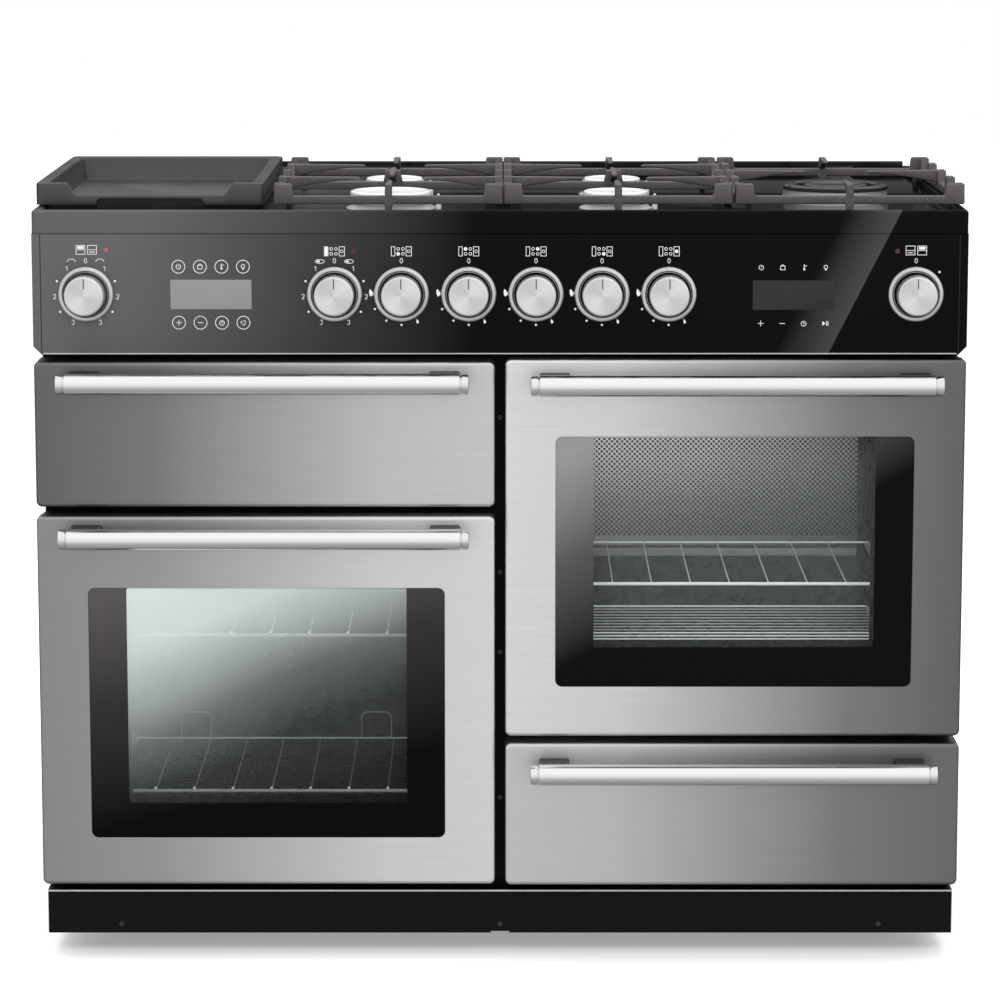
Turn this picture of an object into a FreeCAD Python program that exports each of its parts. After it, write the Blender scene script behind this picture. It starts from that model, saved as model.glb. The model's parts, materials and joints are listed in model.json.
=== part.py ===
import FreeCAD, Part
import os

import Sketcher

# A 1092 mm wide range cooker: gas hob with griddle, grill, two ovens and a proving drawer.
# +X is to the right, +Y is to the back, +Z is up.  The origin lies on the floor, below the middle of
# the cooker with its handles.  All sizes are millimetres.

DRIVING_SIZES = {
    # whole cooker
    "half_width": 546, "half_chassis": 541, "depth": 608, "handle_reach": 52.5,
    "hob_top": 905, "hob_bottom": 878, "sheet": 1.5, "gap": 0.5,
    # doors and drawer fronts, all 44 deep behind one front plane
    "half_mullion": 6, "door_depth": 44, "frame_setback": 48, "door_corner": 7, "skin_return": 20,
    "grill_low": 554, "grill_high": 727, "main_low": 96, "main_high": 543.5,
    "second_low": 277.5, "second_high": 730, "proving_low": 95, "proving_high": 269,
    # door windows
    "glass_half": 210.5, "glass_lap": 8, "glass_thick": 4, "glass_corner": 8,
    "main_centre": -276, "second_centre": 275.5,
    "main_glass_low": 154, "main_glass_high": 457, "second_glass_low": 338, "second_glass_high": 638,
    "clear_half": 165.5, "tunnel_margin": 10, "main_clear_low": 195.6, "main_clear_high": 456,
    "second_clear_low": 385.5, "second_clear_high": 637,
    # hinges: the pivot lies inside the door, near its bottom edge
    "pivot_back": 12, "pivot_up": 9, "pin_radius": 3, "pin_bore": 3.05, "hinge_offset": 235,
    "arm_half": 3, "arm_eye": 6, "arm_half_height": 4, "cheek_gap": 5, "cheek_thick": 4,
    "cheek_high": 19, "notch_high": 17, "arm_tail": 90,
    # handles
    "handle_out": 40, "handle_radius": 12.5, "handle_half": 240, "cap_length": 9, "cap_radius": 11.75,
    "bracket_inboard": 11, "bracket_wide": 36, "bracket_half_high": 10,
    "bracket_back": 30, "grill_handle_z": 706, "main_handle_z": 523,
    "second_handle_z": 704, "proving_handle_z": 241,
    # openings of the front frame and the boxes behind them
    "cavity_half": 205, "main_cavity_low": 128, "main_cavity_high": 492,
    "second_cavity_low": 312, "second_cavity_high": 676, "grill_box_low": 566, "grill_box_high": 716,
    "proving_box_low": 102, "proving_box_high": 262, "cavity_deep": 440, "grill_box_deep": 410,
    "proving_box_deep": 480, "frame_thick": 12, "seal_wide": 10, "seal_clear": 4, "seal_thick": 3.6,
    "vent_half": 30, "vent_high": 4, "vent_z": 731, "vent_first": 116, "vent_pitch": 75.5,
    # base
    "plinth_low": 30, "plinth_high": 83.4, "plinth_setback": 22, "plinth_half": 543,
    "plinth_return": 60, "plinth_notch_half": 11, "plinth_notch_high": 2, "screw_z": 41,
    "row_screw_z": 273,
    "screw_radius": 3, "screw_head": 2, "plinth_screw_x": 455, "foot_x": 480, "front_foot": 150,
    "rear_foot": 540, "foot_radius": 20, "foot_pad": 9, "foot_stem": 5, "tray_low": 88,
    "tray_thick": 2, "side_low": 34, "rear_setback": 10,
    # fascia, knobs and displays
    "fascia_low": 735, "fascia_high": 877.5, "fascia_deep": 47.5, "fascia_glass": 4,
    "fascia_chamfer": 10, "knob_z": 807, "bezel_radius": 32.5, "bezel_bore": 26, "bezel_out": 6,
    "knob_radius": 23.5, "knob_out": 27, "knob_base": 5, "knob_bore_deep": 14, "spindle_radius": 3,
    "spindle_bore": 3.05, "spindle_hole": 5, "spindle_deep": 32,
    "spindle_gap": 6, "control_front": 20, "control_half": 17, "control_deep": 34,
    "tap_bore": 3.4, "tap_bore_deep": 16, "rail_radius": 8, "rail_drop": 22, "rail_half": 160,
    "rail_centre": 41, "inlet_radius": 10.48, "inlet_z": 760, "inlet_x": 440, "inlet_out": 22,
    "display_z": 806.4, "display_half_high": 18.2, "left_display_x": -337.3,
    "right_display_x": 341.7, "display_half": 47.5, "display_deep": 26,
    # hob
    "rim_wide": 12, "deck_top": 893, "deck_thick": 2, "hob_corner": 5, "rear_rail_high": 6,
    "flue_slot_half": 90, "flue_slot_inset": 3, "flue_slot_x": 300,
    "grate_front": 40, "grate_rear": 422, "griddle_left": -545, "griddle_right": -277,
    "first_grate": -131, "second_grate": 139, "third_grate": 411, "grate_half": 134.5,
    "bar_low": 908, "bar_high": 918, "bar_wide": 10, "lug_high": 932, "lug_long": 23,
    "front_burners": 143.5, "rear_burners": 318.5, "middle_row": 231, "wok_row": 235,
    "finger_tip": 37, "finger_half": 4.25, "finger_root": 16, "finger_tip_deep": 5,
    "front_finger_end": 102, "middle_finger_start": 184, "middle_finger_end": 284,
    "rear_finger_start": 360, "grate_foot_half": 5, "grate_foot_inset": 20, "wok_lug_front": 143,
    "wok_lug_rear": 326, "griddle_low": 898, "griddle_plate": 903, "griddle_high": 933,
    "griddle_wall": 15.5, "griddle_lip_high": 919, "griddle_lip_half": 87, "griddle_slope": 17,
    "griddle_wall_low": 907, "griddle_belly": 12.5, "griddle_recess_half": 60,
    "griddle_recess_high": 7, "griddle_corner": 12, "griddle_foot": 7,
    "griddle_foot_inset": 22, "cap_top": 915, "cap_thick": 6, "head_step": 4, "burner_skirt": 9,
    "rapid_radius": 49, "semi_radius": 36, "medium_radius": 39, "wok_ring_out": 64,
    "wok_ring_in": 50, "wok_inner": 39, "burner_hole_step": 12, "igniter_radius": 2.5,
    "igniter_high": 911, "burner_cup_low": 868,
    # insides of the ovens
    "baffle_setback": 392, "baffle_half": 190, "fan_radius": 62, "fan_hub": 14, "fan_shaft": 4,
    "fan_shaft_bore": 4.3, "fan_deep": 20, "fan_behind_baffle": 8, "blade_thick": 2,
    "fan_motor_radius": 38, "fan_motor_deep": 45, "baffle_slot_half": 45, "baffle_slot_high": 5,
    "baffle_slot_pitch": 16, "rod_radius": 2.5, "frame_rod_radius": 3.5, "link_radius": 2,
    "shelf_front": 66, "shelf_rear": 330, "rack_gap": 6, "main_upper_shelf": 386,
    "main_lower_shelf": 194,
    "second_lower_shelf": 366, "second_upper_shelf": 449, "rod_pitch": 46.8,
    "wire_pitch": 17.5, "element_radius": 3.2, "element_half": 150, "element_drop": 14,
    # runners and drawers
    "runner_high": 36, "channel": 1.5, "outer_wide": 14, "middle_wide": 11, "inner_wide": 6,
    "runner_gap": 0.5, "runner_front": 54, "runner_long": 350, "proving_runner_long": 410,
    "grill_runner_z": 600, "proving_runner_z": 150, "carriage_wide": 14, "carriage_deep": 330,
    "pan_high": 30, "pan_wall": 1.5, "pan_inset": 16, "drawer_box_low": 116,
    "drawer_box_high": 232, "drawer_box_deep": 400,
    # back
    "back_hole_radius": 5, "back_hole_z": 620, "back_hole_half": 80, "terminal_x": -380,
    "terminal_z": 160, "terminal_half": 45, "terminal_deep": 38, "back_vent_half": 120,
    "back_vent_high": 6, "back_vent_z": 760,
}

doc = FreeCAD.newDocument("RangeCooker")
sheet = doc.addObject("Spreadsheet::Sheet", "Sizes")
for row, (alias, amount) in enumerate(DRIVING_SIZES.items(), start=1):
    sheet.set(f"A{row}", str(amount))
    sheet.setAlias(f"A{row}", alias)
doc.recompute()


class Size:
    """A length that knows its value and the spreadsheet expression that gives it."""

    def __init__(self, value, text):
        self.value = float(value)
        self.text = text

    def joined(self, other, sign, value):
        return Size(value, f"({self.text} {sign} {as_size(other).text})")

    def __add__(self, other):
        return self.joined(other, "+", self.value + as_size(other).value)

    def __sub__(self, other):
        return self.joined(other, "-", self.value - as_size(other).value)

    def __mul__(self, other):
        return self.joined(other, "*", self.value * as_size(other).value)

    def __truediv__(self, other):
        return self.joined(other, "/", self.value / as_size(other).value)

    def __neg__(self):
        return Size(-self.value, f"(0 - {self.text})")

    __radd__ = __add__
    __rmul__ = __mul__


def as_size(amount):
    """Return a number or a Size as a Size."""
    if isinstance(amount, Size):
        return amount
    return Size(amount, f"({amount})")


class Sizes:
    """The spreadsheet's cells, each as a Size under its alias."""

    def __init__(self, names):
        for name in names:
            setattr(self, name, Size(DRIVING_SIZES[name], f"Sizes.{name}"))


s = Sizes(DRIVING_SIZES)
front = (s.handle_reach - s.depth) / 2
back = front + s.depth


def deep(distance):
    """Return the Y that lies this far behind the doors' front plane."""
    return front + distance


# ---------------------------------------------------------------- building blocks

counts = {}


def fresh(name):
    """Return a document name that no object has yet."""
    counts[name] = counts.get(name, 0) + 1
    return f"{name}_{counts[name]}"


def bind(solid, name, amount):
    """Tie one property of an object to an expression of the sheet."""
    solid.setExpression(name, as_size(amount).text)


def place(solid, x, y, z):
    """Tie the place of an object to the sheet."""
    for letter, amount in (("x", x), ("y", y), ("z", z)):
        bind(solid, f".Placement.Base.{letter}", amount)


def box(x_span, y_span, z_span):
    """A block between the low and high X, Y and Z."""
    block = doc.addObject("Part::Box", fresh("block"))
    for name, (low, high) in (("Length", x_span), ("Width", y_span), ("Height", z_span)):
        bind(block, name, as_size(high) - low)
    place(block, x_span[0], y_span[0], z_span[0])
    return block


AXIS_TURNS = {
    "x": FreeCAD.Rotation(FreeCAD.Vector(0, 1, 0), 90),
    "y": FreeCAD.Rotation(FreeCAD.Vector(1, 0, 0), -90),
    "z": FreeCAD.Rotation(),
}


def rod(axis, x, y, z, radius, length):
    """A round bar that starts at x, y, z and runs along +axis."""
    bar = doc.addObject("Part::Cylinder", fresh("bar"))
    bind(bar, "Radius", radius)
    bind(bar, "Height", length)
    bar.Placement = FreeCAD.Placement(FreeCAD.Vector(), AXIS_TURNS[axis])
    place(bar, x, y, z)
    return bar


def fuse(*solids):
    """Weld solids into one."""
    result = doc.addObject("Part::MultiFuse", fresh("weld"))
    result.Shapes = list(solids)
    result.Refine = False
    return result


def group(*solids):
    """Keep several separate solids in one node."""
    result = doc.addObject("Part::Compound", fresh("set"))
    result.Links = list(solids)
    return result


def cut(base, *tools):
    """Take the tools away from the base."""
    result = doc.addObject("Part::Cut", fresh("cut"))
    result.Base = base
    result.Tool = tools[0] if len(tools) == 1 else fuse(*tools)
    return result


def closed_sketch(body, plane, outline, offset):
    """A sketch of straight lines, each corner tied to the sheet, on one of the body's own planes."""
    drawing = body.newObject("Sketcher::SketchObject", fresh("outline"))
    own_plane = [item for item in body.Origin.OriginFeatures if item.Role == plane][0]
    drawing.AttachmentSupport = [(own_plane, "")]
    drawing.MapMode = "FlatFace"
    bind(drawing, "AttachmentOffset.Base.z", offset)
    corners = [(as_size(across), as_size(up)) for across, up in outline]
    points = [FreeCAD.Vector(across.value, up.value, 0) for across, up in corners]
    total = len(points)
    for index in range(total):
        drawing.addGeometry(Part.LineSegment(points[index], points[(index + 1) % total]))
    for index in range(total):
        drawing.addConstraint(Sketcher.Constraint("Coincident", index, 2, (index + 1) % total, 1))
    for index, (across, up) in enumerate(corners):
        for kind, amount in (("DistanceX", across), ("DistanceY", up)):
            rule = Sketcher.Constraint(kind, -1, 1, index, 1, amount.value)
            number = drawing.addConstraint(rule)
            drawing.setExpression(f"Constraints[{number}]", amount.text)
    return drawing


# plane, and whether a pad must be reversed to grow along +axis
PAD_PLANES = {"x": ("YZ_Plane", False), "y": ("XZ_Plane", True), "z": ("XY_Plane", False)}


def prism(axis, outline, span, corner=None):
    """An outline carried along one axis, with rounded edges along it if a corner radius is given."""
    plane, is_reversed = PAD_PLANES[axis]
    body = doc.addObject("PartDesign::Body", fresh("body"))
    low, high = as_size(span[0]), as_size(span[1])
    offset = -low if is_reversed else low
    pad = body.newObject("PartDesign::Pad", fresh("pad"))
    pad.Profile = closed_sketch(body, plane, outline, offset)
    bind(pad, "Length", high - low)
    pad.Reversed = is_reversed
    if corner is not None:
        doc.recompute()
        round_edges(body, pad, axis, corner)
    return body


def round_edges(body, feature, axis, corner):
    """Round the body's edges that run along one axis."""
    names = []
    for number, edge in enumerate(feature.Shape.Edges, start=1):
        if abs(getattr(edge.tangentAt(edge.FirstParameter), axis)) > 0.999:
            names.append(f"Edge{number}")
    rounding = body.newObject("PartDesign::Fillet", fresh("rounding"))
    rounding.Base = (feature, names)
    bind(rounding, "Radius", corner)


def rectangle(across, up):
    """The four corners of a rectangle from its two spans."""
    return [(across[0], up[0]), (across[1], up[0]), (across[1], up[1]), (across[0], up[1])]


def plate(x_span, y_span, z_span, corner):
    """A block with rounded corners in the front view."""
    return prism("y", rectangle(x_span, z_span), y_span, corner)


TURNED_AXES = {"z": FreeCAD.Rotation(), "front": FreeCAD.Rotation(FreeCAD.Vector(1, 0, 0), 90)}


def turned(axis, x, y, z, profile):
    """A profile of radius and height turned about +Z, or about an axis that points to the front."""
    body = doc.addObject("PartDesign::Body", fresh("body"))
    spin = body.newObject("PartDesign::Revolution", fresh("spin"))
    drawing = closed_sketch(body, "XZ_Plane", profile, 0)
    spin.Profile = drawing
    spin.ReferenceAxis = (drawing, ["V_Axis"])
    spin.Angle = 360
    body.Placement = FreeCAD.Placement(FreeCAD.Vector(), TURNED_AXES[axis])
    place(body, x, y, z)
    return body


def inset(span, amount):
    """A span that is shorter by the amount at both ends."""
    return (span[0] + amount, span[1] - amount)


def about(centre, half):
    """The span of this half width about a centre."""
    return (centre - half, centre + half)


parts = {}


def publish(name, solid):
    """Name a sub-part; the name is its label and its file."""
    solid.Label = name
    parts[name] = solid


# ---------------------------------------------------------------- base and casing

def make_plinth():
    """The plinth panel, with a top return and a small notch below the middle."""
    face = box(about(as_size(0), s.plinth_half), (deep(s.plinth_setback),
               deep(s.plinth_setback + s.sheet)), (s.plinth_low, s.plinth_high))
    top = box(about(as_size(0), s.plinth_half), (deep(s.plinth_setback),
              deep(s.plinth_return)), (s.plinth_high - s.sheet, s.plinth_high))
    sides = [box(span, (deep(s.plinth_setback), deep(s.plinth_return)), (s.plinth_low, s.plinth_high))
             for span in ((-s.plinth_half, -s.plinth_half + s.sheet),
                          (s.plinth_half - s.sheet, s.plinth_half))]
    notch = box(about(as_size(0), s.plinth_notch_half), (deep(s.plinth_setback - s.sheet),
                deep(s.plinth_setback + 2 * s.sheet)),
                (s.plinth_low - s.sheet, s.plinth_low + s.plinth_notch_high))
    holes = [rod("y", x, deep(s.plinth_setback - s.sheet), s.screw_z, s.screw_radius, 4 * s.sheet)
             for x in (-s.plinth_screw_x, as_size(0), s.plinth_screw_x)]
    publish("plinth", cut(fuse(face, top, *sides), notch, *holes))


MULLION_SCREW_HEIGHTS = (191, 370, 467, 654)
ROW_SCREW_PLACES = (48, 152, 271, 390, 500)


def make_screws():
    """Plinth screws, set in its holes, and the small screws between the doors."""
    screws = [rod("y", x, deep(s.plinth_setback), s.screw_z, s.screw_radius, 5 * s.sheet)
              for x in (-s.plinth_screw_x, as_size(0), s.plinth_screw_x)]
    between_doors = [(0, z) for z in MULLION_SCREW_HEIGHTS]
    between_doors += [(x, s.row_screw_z) for x in ROW_SCREW_PLACES]
    for x, z in between_doors:
        screws.append(rod("y", x, deep(s.frame_setback - s.screw_head), z,
                          s.screw_radius, s.screw_head))
    publish("screws", group(*screws))


def make_base():
    """The base tray, and four feet whose stems reach its underside."""
    tray = box(about(as_size(0), s.half_chassis - s.sheet),
               (deep(s.frame_setback + s.frame_thick), back - s.rear_setback),
               (s.tray_low, s.tray_low + s.tray_thick))
    publish("base_tray", tray)
    feet = []
    for x in (-s.foot_x, s.foot_x):
        for y in (s.front_foot, s.rear_foot):
            profile = [(0, 0), (s.foot_radius, 0), (s.foot_radius, s.foot_pad * 2 / 3),
                       (s.foot_radius * 3 / 5, s.foot_pad), (s.foot_stem, s.foot_pad),
                       (s.foot_stem, s.tray_low), (0, s.tray_low)]
            feet.append(turned("z", x, deep(y), 0, profile))
    publish("levelling_feet", group(*feet))


BACK_VENTS = 4
FRONT_VENTS = 5


def make_casing():
    """Side panels, and the back panel with its terminal box, vents and bracket holes."""
    sides = [box(span, (deep(s.frame_setback), back - s.rear_setback), (s.side_low, s.hob_bottom))
             for span in ((-s.half_chassis, -s.half_chassis + s.sheet),
                          (s.half_chassis - s.sheet, s.half_chassis))]
    cut_corners = [box(span, (deep(s.frame_setback - s.sheet), deep(s.plinth_return)),
                       (s.side_low - s.sheet, s.plinth_high))
                   for span in ((-s.half_width, -s.half_chassis + 2 * s.sheet),
                                (s.half_chassis - 2 * s.sheet, s.half_width))]
    publish("side_panels", group(cut(sides[0], cut_corners[0]), cut(sides[1], cut_corners[1])))
    rear = (back - s.rear_setback - s.sheet, back - s.rear_setback)
    through = (back - s.rear_setback - 3 * s.sheet, back)
    panel = box(about(as_size(0), s.half_chassis - s.sheet), rear,
                (s.tray_low + s.tray_thick, s.hob_bottom))
    holes = [rod("y", x, through[0], s.back_hole_z, s.back_hole_radius, through[1] - through[0])
             for x in (-s.back_hole_half, s.back_hole_half)]
    holes.append(rod("y", s.inlet_x, through[0], s.inlet_z, 2 * s.inlet_radius,
                     through[1] - through[0]))
    for index in range(BACK_VENTS):
        z = s.back_vent_z + index * 3 * s.back_vent_high
        holes.append(box(about(as_size(0), s.back_vent_half), through, (z, z + s.back_vent_high)))
    terminal = plate(about(s.terminal_x, s.terminal_half),
                     (rear[0] - s.terminal_deep, rear[0]), about(s.terminal_z, s.terminal_half),
                     s.door_corner)
    publish("back_panel", group(cut(panel, *holes), terminal))


def make_front_frame():
    """The frame that the doors close on, with an opening for each compartment and the controls."""
    span = (deep(s.frame_setback), deep(s.frame_setback + s.frame_thick))
    through = (deep(s.frame_setback - s.sheet), deep(s.frame_setback + s.frame_thick + s.sheet))
    whole = box(about(as_size(0), s.half_chassis - s.sheet), span, (s.plinth_high, s.hob_bottom))
    main, second = (about(centre, s.cavity_half) for centre in (s.main_centre, s.second_centre))
    openings = [
        box(main, through, (s.main_cavity_low, s.main_cavity_high)),
        box(main, through, (s.grill_box_low, s.grill_box_high)),
        box(second, through, (s.second_cavity_low, s.second_cavity_high)),
        box(second, through, (s.proving_box_low, s.proving_box_high)),
        box(about(as_size(0), s.half_chassis - s.frame_thick), through,
            (s.fascia_low + s.frame_thick, s.hob_bottom - s.frame_thick)),
    ]
    for index in range(FRONT_VENTS):
        x = s.vent_first + index * s.vent_pitch
        openings.append(box(about(x, s.vent_half), through, (s.vent_z, s.vent_z + s.vent_high)))
    for centre, low in ((s.main_centre, s.main_low), (s.second_centre, s.second_low)):
        for side in (-1, 1):
            x = centre + side * s.hinge_offset
            openings.append(box(about(x, s.arm_half), through,
                                about(low + s.pivot_up, s.arm_half_height)))
    publish("front_frame", cut(whole, *openings))


# ---------------------------------------------------------------- ovens, grill and drawer housings

def open_box(centre, low, high, depth):
    """A sheet box that is open at the front, from the front frame backwards."""
    start = deep(s.frame_setback + s.frame_thick)
    inner = box(about(centre, s.cavity_half), (start - s.sheet, start + depth), (low, high))
    outer = box(about(centre, s.cavity_half + s.sheet), (start, start + depth + s.sheet),
                (low - s.sheet, high + s.sheet))
    return cut(outer, inner)


def fan_shaft_hole(centre, low, high):
    """The hole for the fan's shaft in a cavity's rear wall."""
    y = deep(s.frame_setback + s.frame_thick + s.cavity_deep)
    return rod("y", centre, y - s.sheet, (low + high) / 2, s.fan_shaft_bore, 4 * s.sheet)


def make_housings():
    """Both cavities, the grill's housing and the proving drawer's housing."""
    ovens = (("main_oven_cavity", s.main_centre, s.main_cavity_low, s.main_cavity_high),
             ("second_oven_cavity", s.second_centre, s.second_cavity_low, s.second_cavity_high))
    for name, centre, low, high in ovens:
        publish(name, cut(open_box(centre, low, high, s.cavity_deep),
                          fan_shaft_hole(centre, low, high)))
    publish("grill_housing", open_box(s.main_centre, s.grill_box_low, s.grill_box_high,
                                      s.grill_box_deep))
    publish("proving_housing", open_box(s.second_centre, s.proving_box_low, s.proving_box_high,
                                        s.proving_box_deep))


def make_seals():
    """A flat ring of seal round each oven's opening."""
    rings = []
    for centre, low, high in ((s.main_centre, s.main_cavity_low, s.main_cavity_high),
                              (s.second_centre, s.second_cavity_low, s.second_cavity_high)):
        span = (deep(s.frame_setback - s.seal_thick), deep(s.frame_setback))
        reach = s.seal_clear + s.seal_wide
        ring = plate(about(centre, s.cavity_half + reach), span, (low - reach, high + reach),
                     s.seal_wide)
        hole = box(about(centre, s.cavity_half + s.seal_clear), (span[0] - s.sheet, span[1] + s.sheet),
                   (low - s.seal_clear, high + s.seal_clear))
        rings.append(cut(ring, hole))
    publish("door_seals", group(*rings))


WIRES_ACROSS = 14
WIRES_EACH_SIDE = 3


def wire_shelf(centre, z, wires_across):
    """A wire shelf: a rectangle of thick rod, filled with thin rods one way."""
    x_span = about(centre, s.cavity_half - s.rack_gap - 2 * s.frame_rod_radius)
    y_span = (deep(s.shelf_front), deep(s.shelf_rear))
    wide, long = x_span[1] - x_span[0], y_span[1] - y_span[0]
    rods = [rod("x", x_span[0] - s.frame_rod_radius, y, z, s.frame_rod_radius,
                wide + 2 * s.frame_rod_radius) for y in y_span]
    rods += [rod("y", x, y_span[0], z, s.frame_rod_radius, long) for x in x_span]
    if wires_across:
        rods += [rod("x", x_span[0], y_span[0] + index * s.wire_pitch, z, s.rod_radius, wide)
                 for index in range(1, WIRES_ACROSS + 1)]
    else:
        rods += [rod("y", centre + index * s.rod_pitch, y_span[0], z, s.rod_radius, long)
                 for index in range(-WIRES_EACH_SIDE, WIRES_EACH_SIDE + 1)]
        rods.append(rod("x", x_span[0], (y_span[0] + y_span[1]) / 2, z - s.rod_radius,
                        s.link_radius, wide))
    return fuse(*rods)


def side_racks(centre, heights):
    """The ladders at both walls: two posts on each, and a rail under every shelf."""
    racks = []
    for side in (-1, 1):
        wall = centre + side * s.cavity_half
        x = wall - side * s.frame_rod_radius
        inner = wall - side * (s.rack_gap + s.frame_rod_radius)
        low, high = heights[0] - 12 * s.frame_rod_radius, heights[-1] + 12 * s.frame_rod_radius
        posts = [rod("z", x, y, low, s.frame_rod_radius, high - low)
                 for y in (deep(s.shelf_front) + s.rod_pitch, deep(s.shelf_rear) - s.rod_pitch)]
        rails = []
        for z in heights:
            rail_z = z - s.frame_rod_radius - s.rod_radius
            rails.append(rod("y", x - side * s.rod_radius, deep(s.shelf_front), rail_z, s.rod_radius,
                             s.shelf_rear - s.shelf_front))
            rails.append(rod("y", inner, deep(s.shelf_front), rail_z, s.rod_radius,
                             s.shelf_rear - s.shelf_front))
            for y in (deep(s.shelf_front) + s.rod_pitch, deep(s.shelf_rear) - s.rod_pitch):
                start, end = (x, inner) if side < 0 else (inner, x)
                rails.append(rod("x", start, y, rail_z, s.link_radius, end - start))
        racks.append(fuse(*posts, *rails))
    return racks


def make_shelves():
    """Two shelves in each oven on their side racks."""
    heights = (s.main_lower_shelf, s.main_upper_shelf)
    shelves = [wire_shelf(s.main_centre, z, False) for z in heights]
    publish("main_oven_shelves", group(*shelves, *side_racks(s.main_centre, heights)))
    heights = (s.second_lower_shelf, s.second_upper_shelf)
    shelves = [wire_shelf(s.second_centre, z, z is heights[0]) for z in heights]
    publish("second_oven_shelves", group(*shelves, *side_racks(s.second_centre, heights)))


FAN_BLADES = 8
SLOTS_EACH_SIDE = 4


def make_fans():
    """The slotted baffles, the fans behind them and the fans' motors behind the cavities."""
    fixed = []
    rear_wall = deep(s.frame_setback + s.frame_thick + s.cavity_deep)
    ovens = (("main_oven_fan", s.main_centre, s.main_cavity_low, s.main_cavity_high),
             ("second_oven_fan", s.second_centre, s.second_cavity_low, s.second_cavity_high))
    for name, centre, low, high in ovens:
        middle = (low + high) / 2
        y = deep(s.frame_setback + s.baffle_setback)
        plate_span = (y, y + s.sheet)
        cover = box(about(centre, s.baffle_half), plate_span, inset((low, high), s.rod_pitch / 2))
        legs = [box(span, (y, rear_wall), inset((low, high), s.rod_pitch / 2))
                for span in ((centre - s.baffle_half, centre - s.baffle_half + s.sheet),
                             (centre + s.baffle_half - s.sheet, centre + s.baffle_half))]
        slots = [box(about(centre, s.baffle_slot_half), (y - s.sheet, y + 3 * s.sheet),
                     about(middle + index * s.baffle_slot_pitch, s.baffle_slot_high / 2))
                 for index in range(-SLOTS_EACH_SIDE, SLOTS_EACH_SIDE + 1)]
        fixed.append(cut(fuse(cover, *legs), *slots))
        motor_y = rear_wall + s.sheet + s.gap
        fixed.append(cut(rod("y", centre, motor_y, middle, s.fan_motor_radius, s.fan_motor_deep),
                         rod("y", centre, motor_y - s.gap, middle, s.fan_shaft_bore,
                             s.fan_motor_deep / 2 + s.gap)))
        start = y + s.sheet + s.fan_behind_baffle
        hub = rod("y", centre, start, middle, s.fan_hub, s.fan_deep)
        shaft = rod("y", centre, start, middle, s.fan_shaft,
                    motor_y + s.fan_motor_deep / 2 - 2 * s.gap - start)
        blades = []
        for index in range(FAN_BLADES):
            blade = doc.addObject("Part::Box", fresh("blade"))
            bind(blade, "Length", s.fan_radius)
            bind(blade, "Width", s.fan_deep)
            bind(blade, "Height", s.blade_thick)
            turn = FreeCAD.Rotation(FreeCAD.Vector(0, 1, 0), index * 360 / FAN_BLADES)
            blade.Placement = FreeCAD.Placement(FreeCAD.Vector(), turn)
            place(blade, centre, start, middle)
            blades.append(blade)
        publish(name, fuse(hub, shaft, *blades))
    publish("fan_baffles", group(*fixed))


def element_loop(centre, y_span, z):
    """Element rods in a rectangle with two more between them, hung from the ceiling."""
    x_span = about(centre, s.element_half)
    rods = [rod("x", x_span[0] - s.element_radius, y, z, s.element_radius,
                x_span[1] - x_span[0] + 2 * s.element_radius) for y in y_span]
    rods += [rod("y", x, y_span[0], z, s.rod_radius, y_span[1] - y_span[0])
             for x in (x_span[0], centre - s.rod_pitch, centre + s.rod_pitch, x_span[1])]
    rods += [rod("z", x, y_span[1], z, s.link_radius, s.element_drop)
             for x in inset(x_span, s.rod_pitch / 2)]
    return fuse(*rods)


def make_elements():
    """The top elements of both ovens and the grill's element."""
    span = (deep(s.shelf_front + s.rod_pitch), deep(s.shelf_rear - s.rod_pitch))
    loops = [element_loop(centre, span, high - s.element_drop)
             for centre, high in ((s.main_centre, s.main_cavity_high),
                                  (s.second_centre, s.second_cavity_high),
                                  (s.main_centre, s.grill_box_high))]
    publish("heating_elements", group(*loops))


# ---------------------------------------------------------------- doors

def make_handle(name, centre, z):
    """A round bar with an end cap at each end, on two brackets."""
    y = front - s.handle_out
    bar_half = s.handle_half - s.cap_length
    bar = rod("x", centre - bar_half, y, z, s.handle_radius, 2 * bar_half)
    caps = [rod("x", start, y, z, s.cap_radius, s.cap_length)
            for start in (centre - s.handle_half, centre + bar_half)]
    brackets = []
    for side in (-1, 1):
        middle = centre + side * (s.handle_half - s.bracket_inboard - s.bracket_wide / 2)
        block = prism("y", rectangle(about(middle, s.bracket_wide / 2),
                                     about(z, s.bracket_half_high)),
                      (front - s.bracket_back, front), s.door_corner / 2)
        saddle = rod("x", middle - s.bracket_wide, y, z, s.handle_radius, 2 * s.bracket_wide)
        brackets.append(cut(block, saddle))
    publish(name, group(bar, *caps, *brackets))


def front_shell(x_span, z_span, depth):
    """A pressed front: a sheet with rounded corners and returns of the given depth."""
    outer = plate(x_span, (front, deep(depth)), z_span, s.door_corner)
    inner = plate(inset(x_span, s.sheet), (deep(s.sheet), deep(depth + s.sheet)),
                  inset(z_span, s.sheet), s.door_corner - s.sheet)
    return cut(outer, inner)


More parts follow.
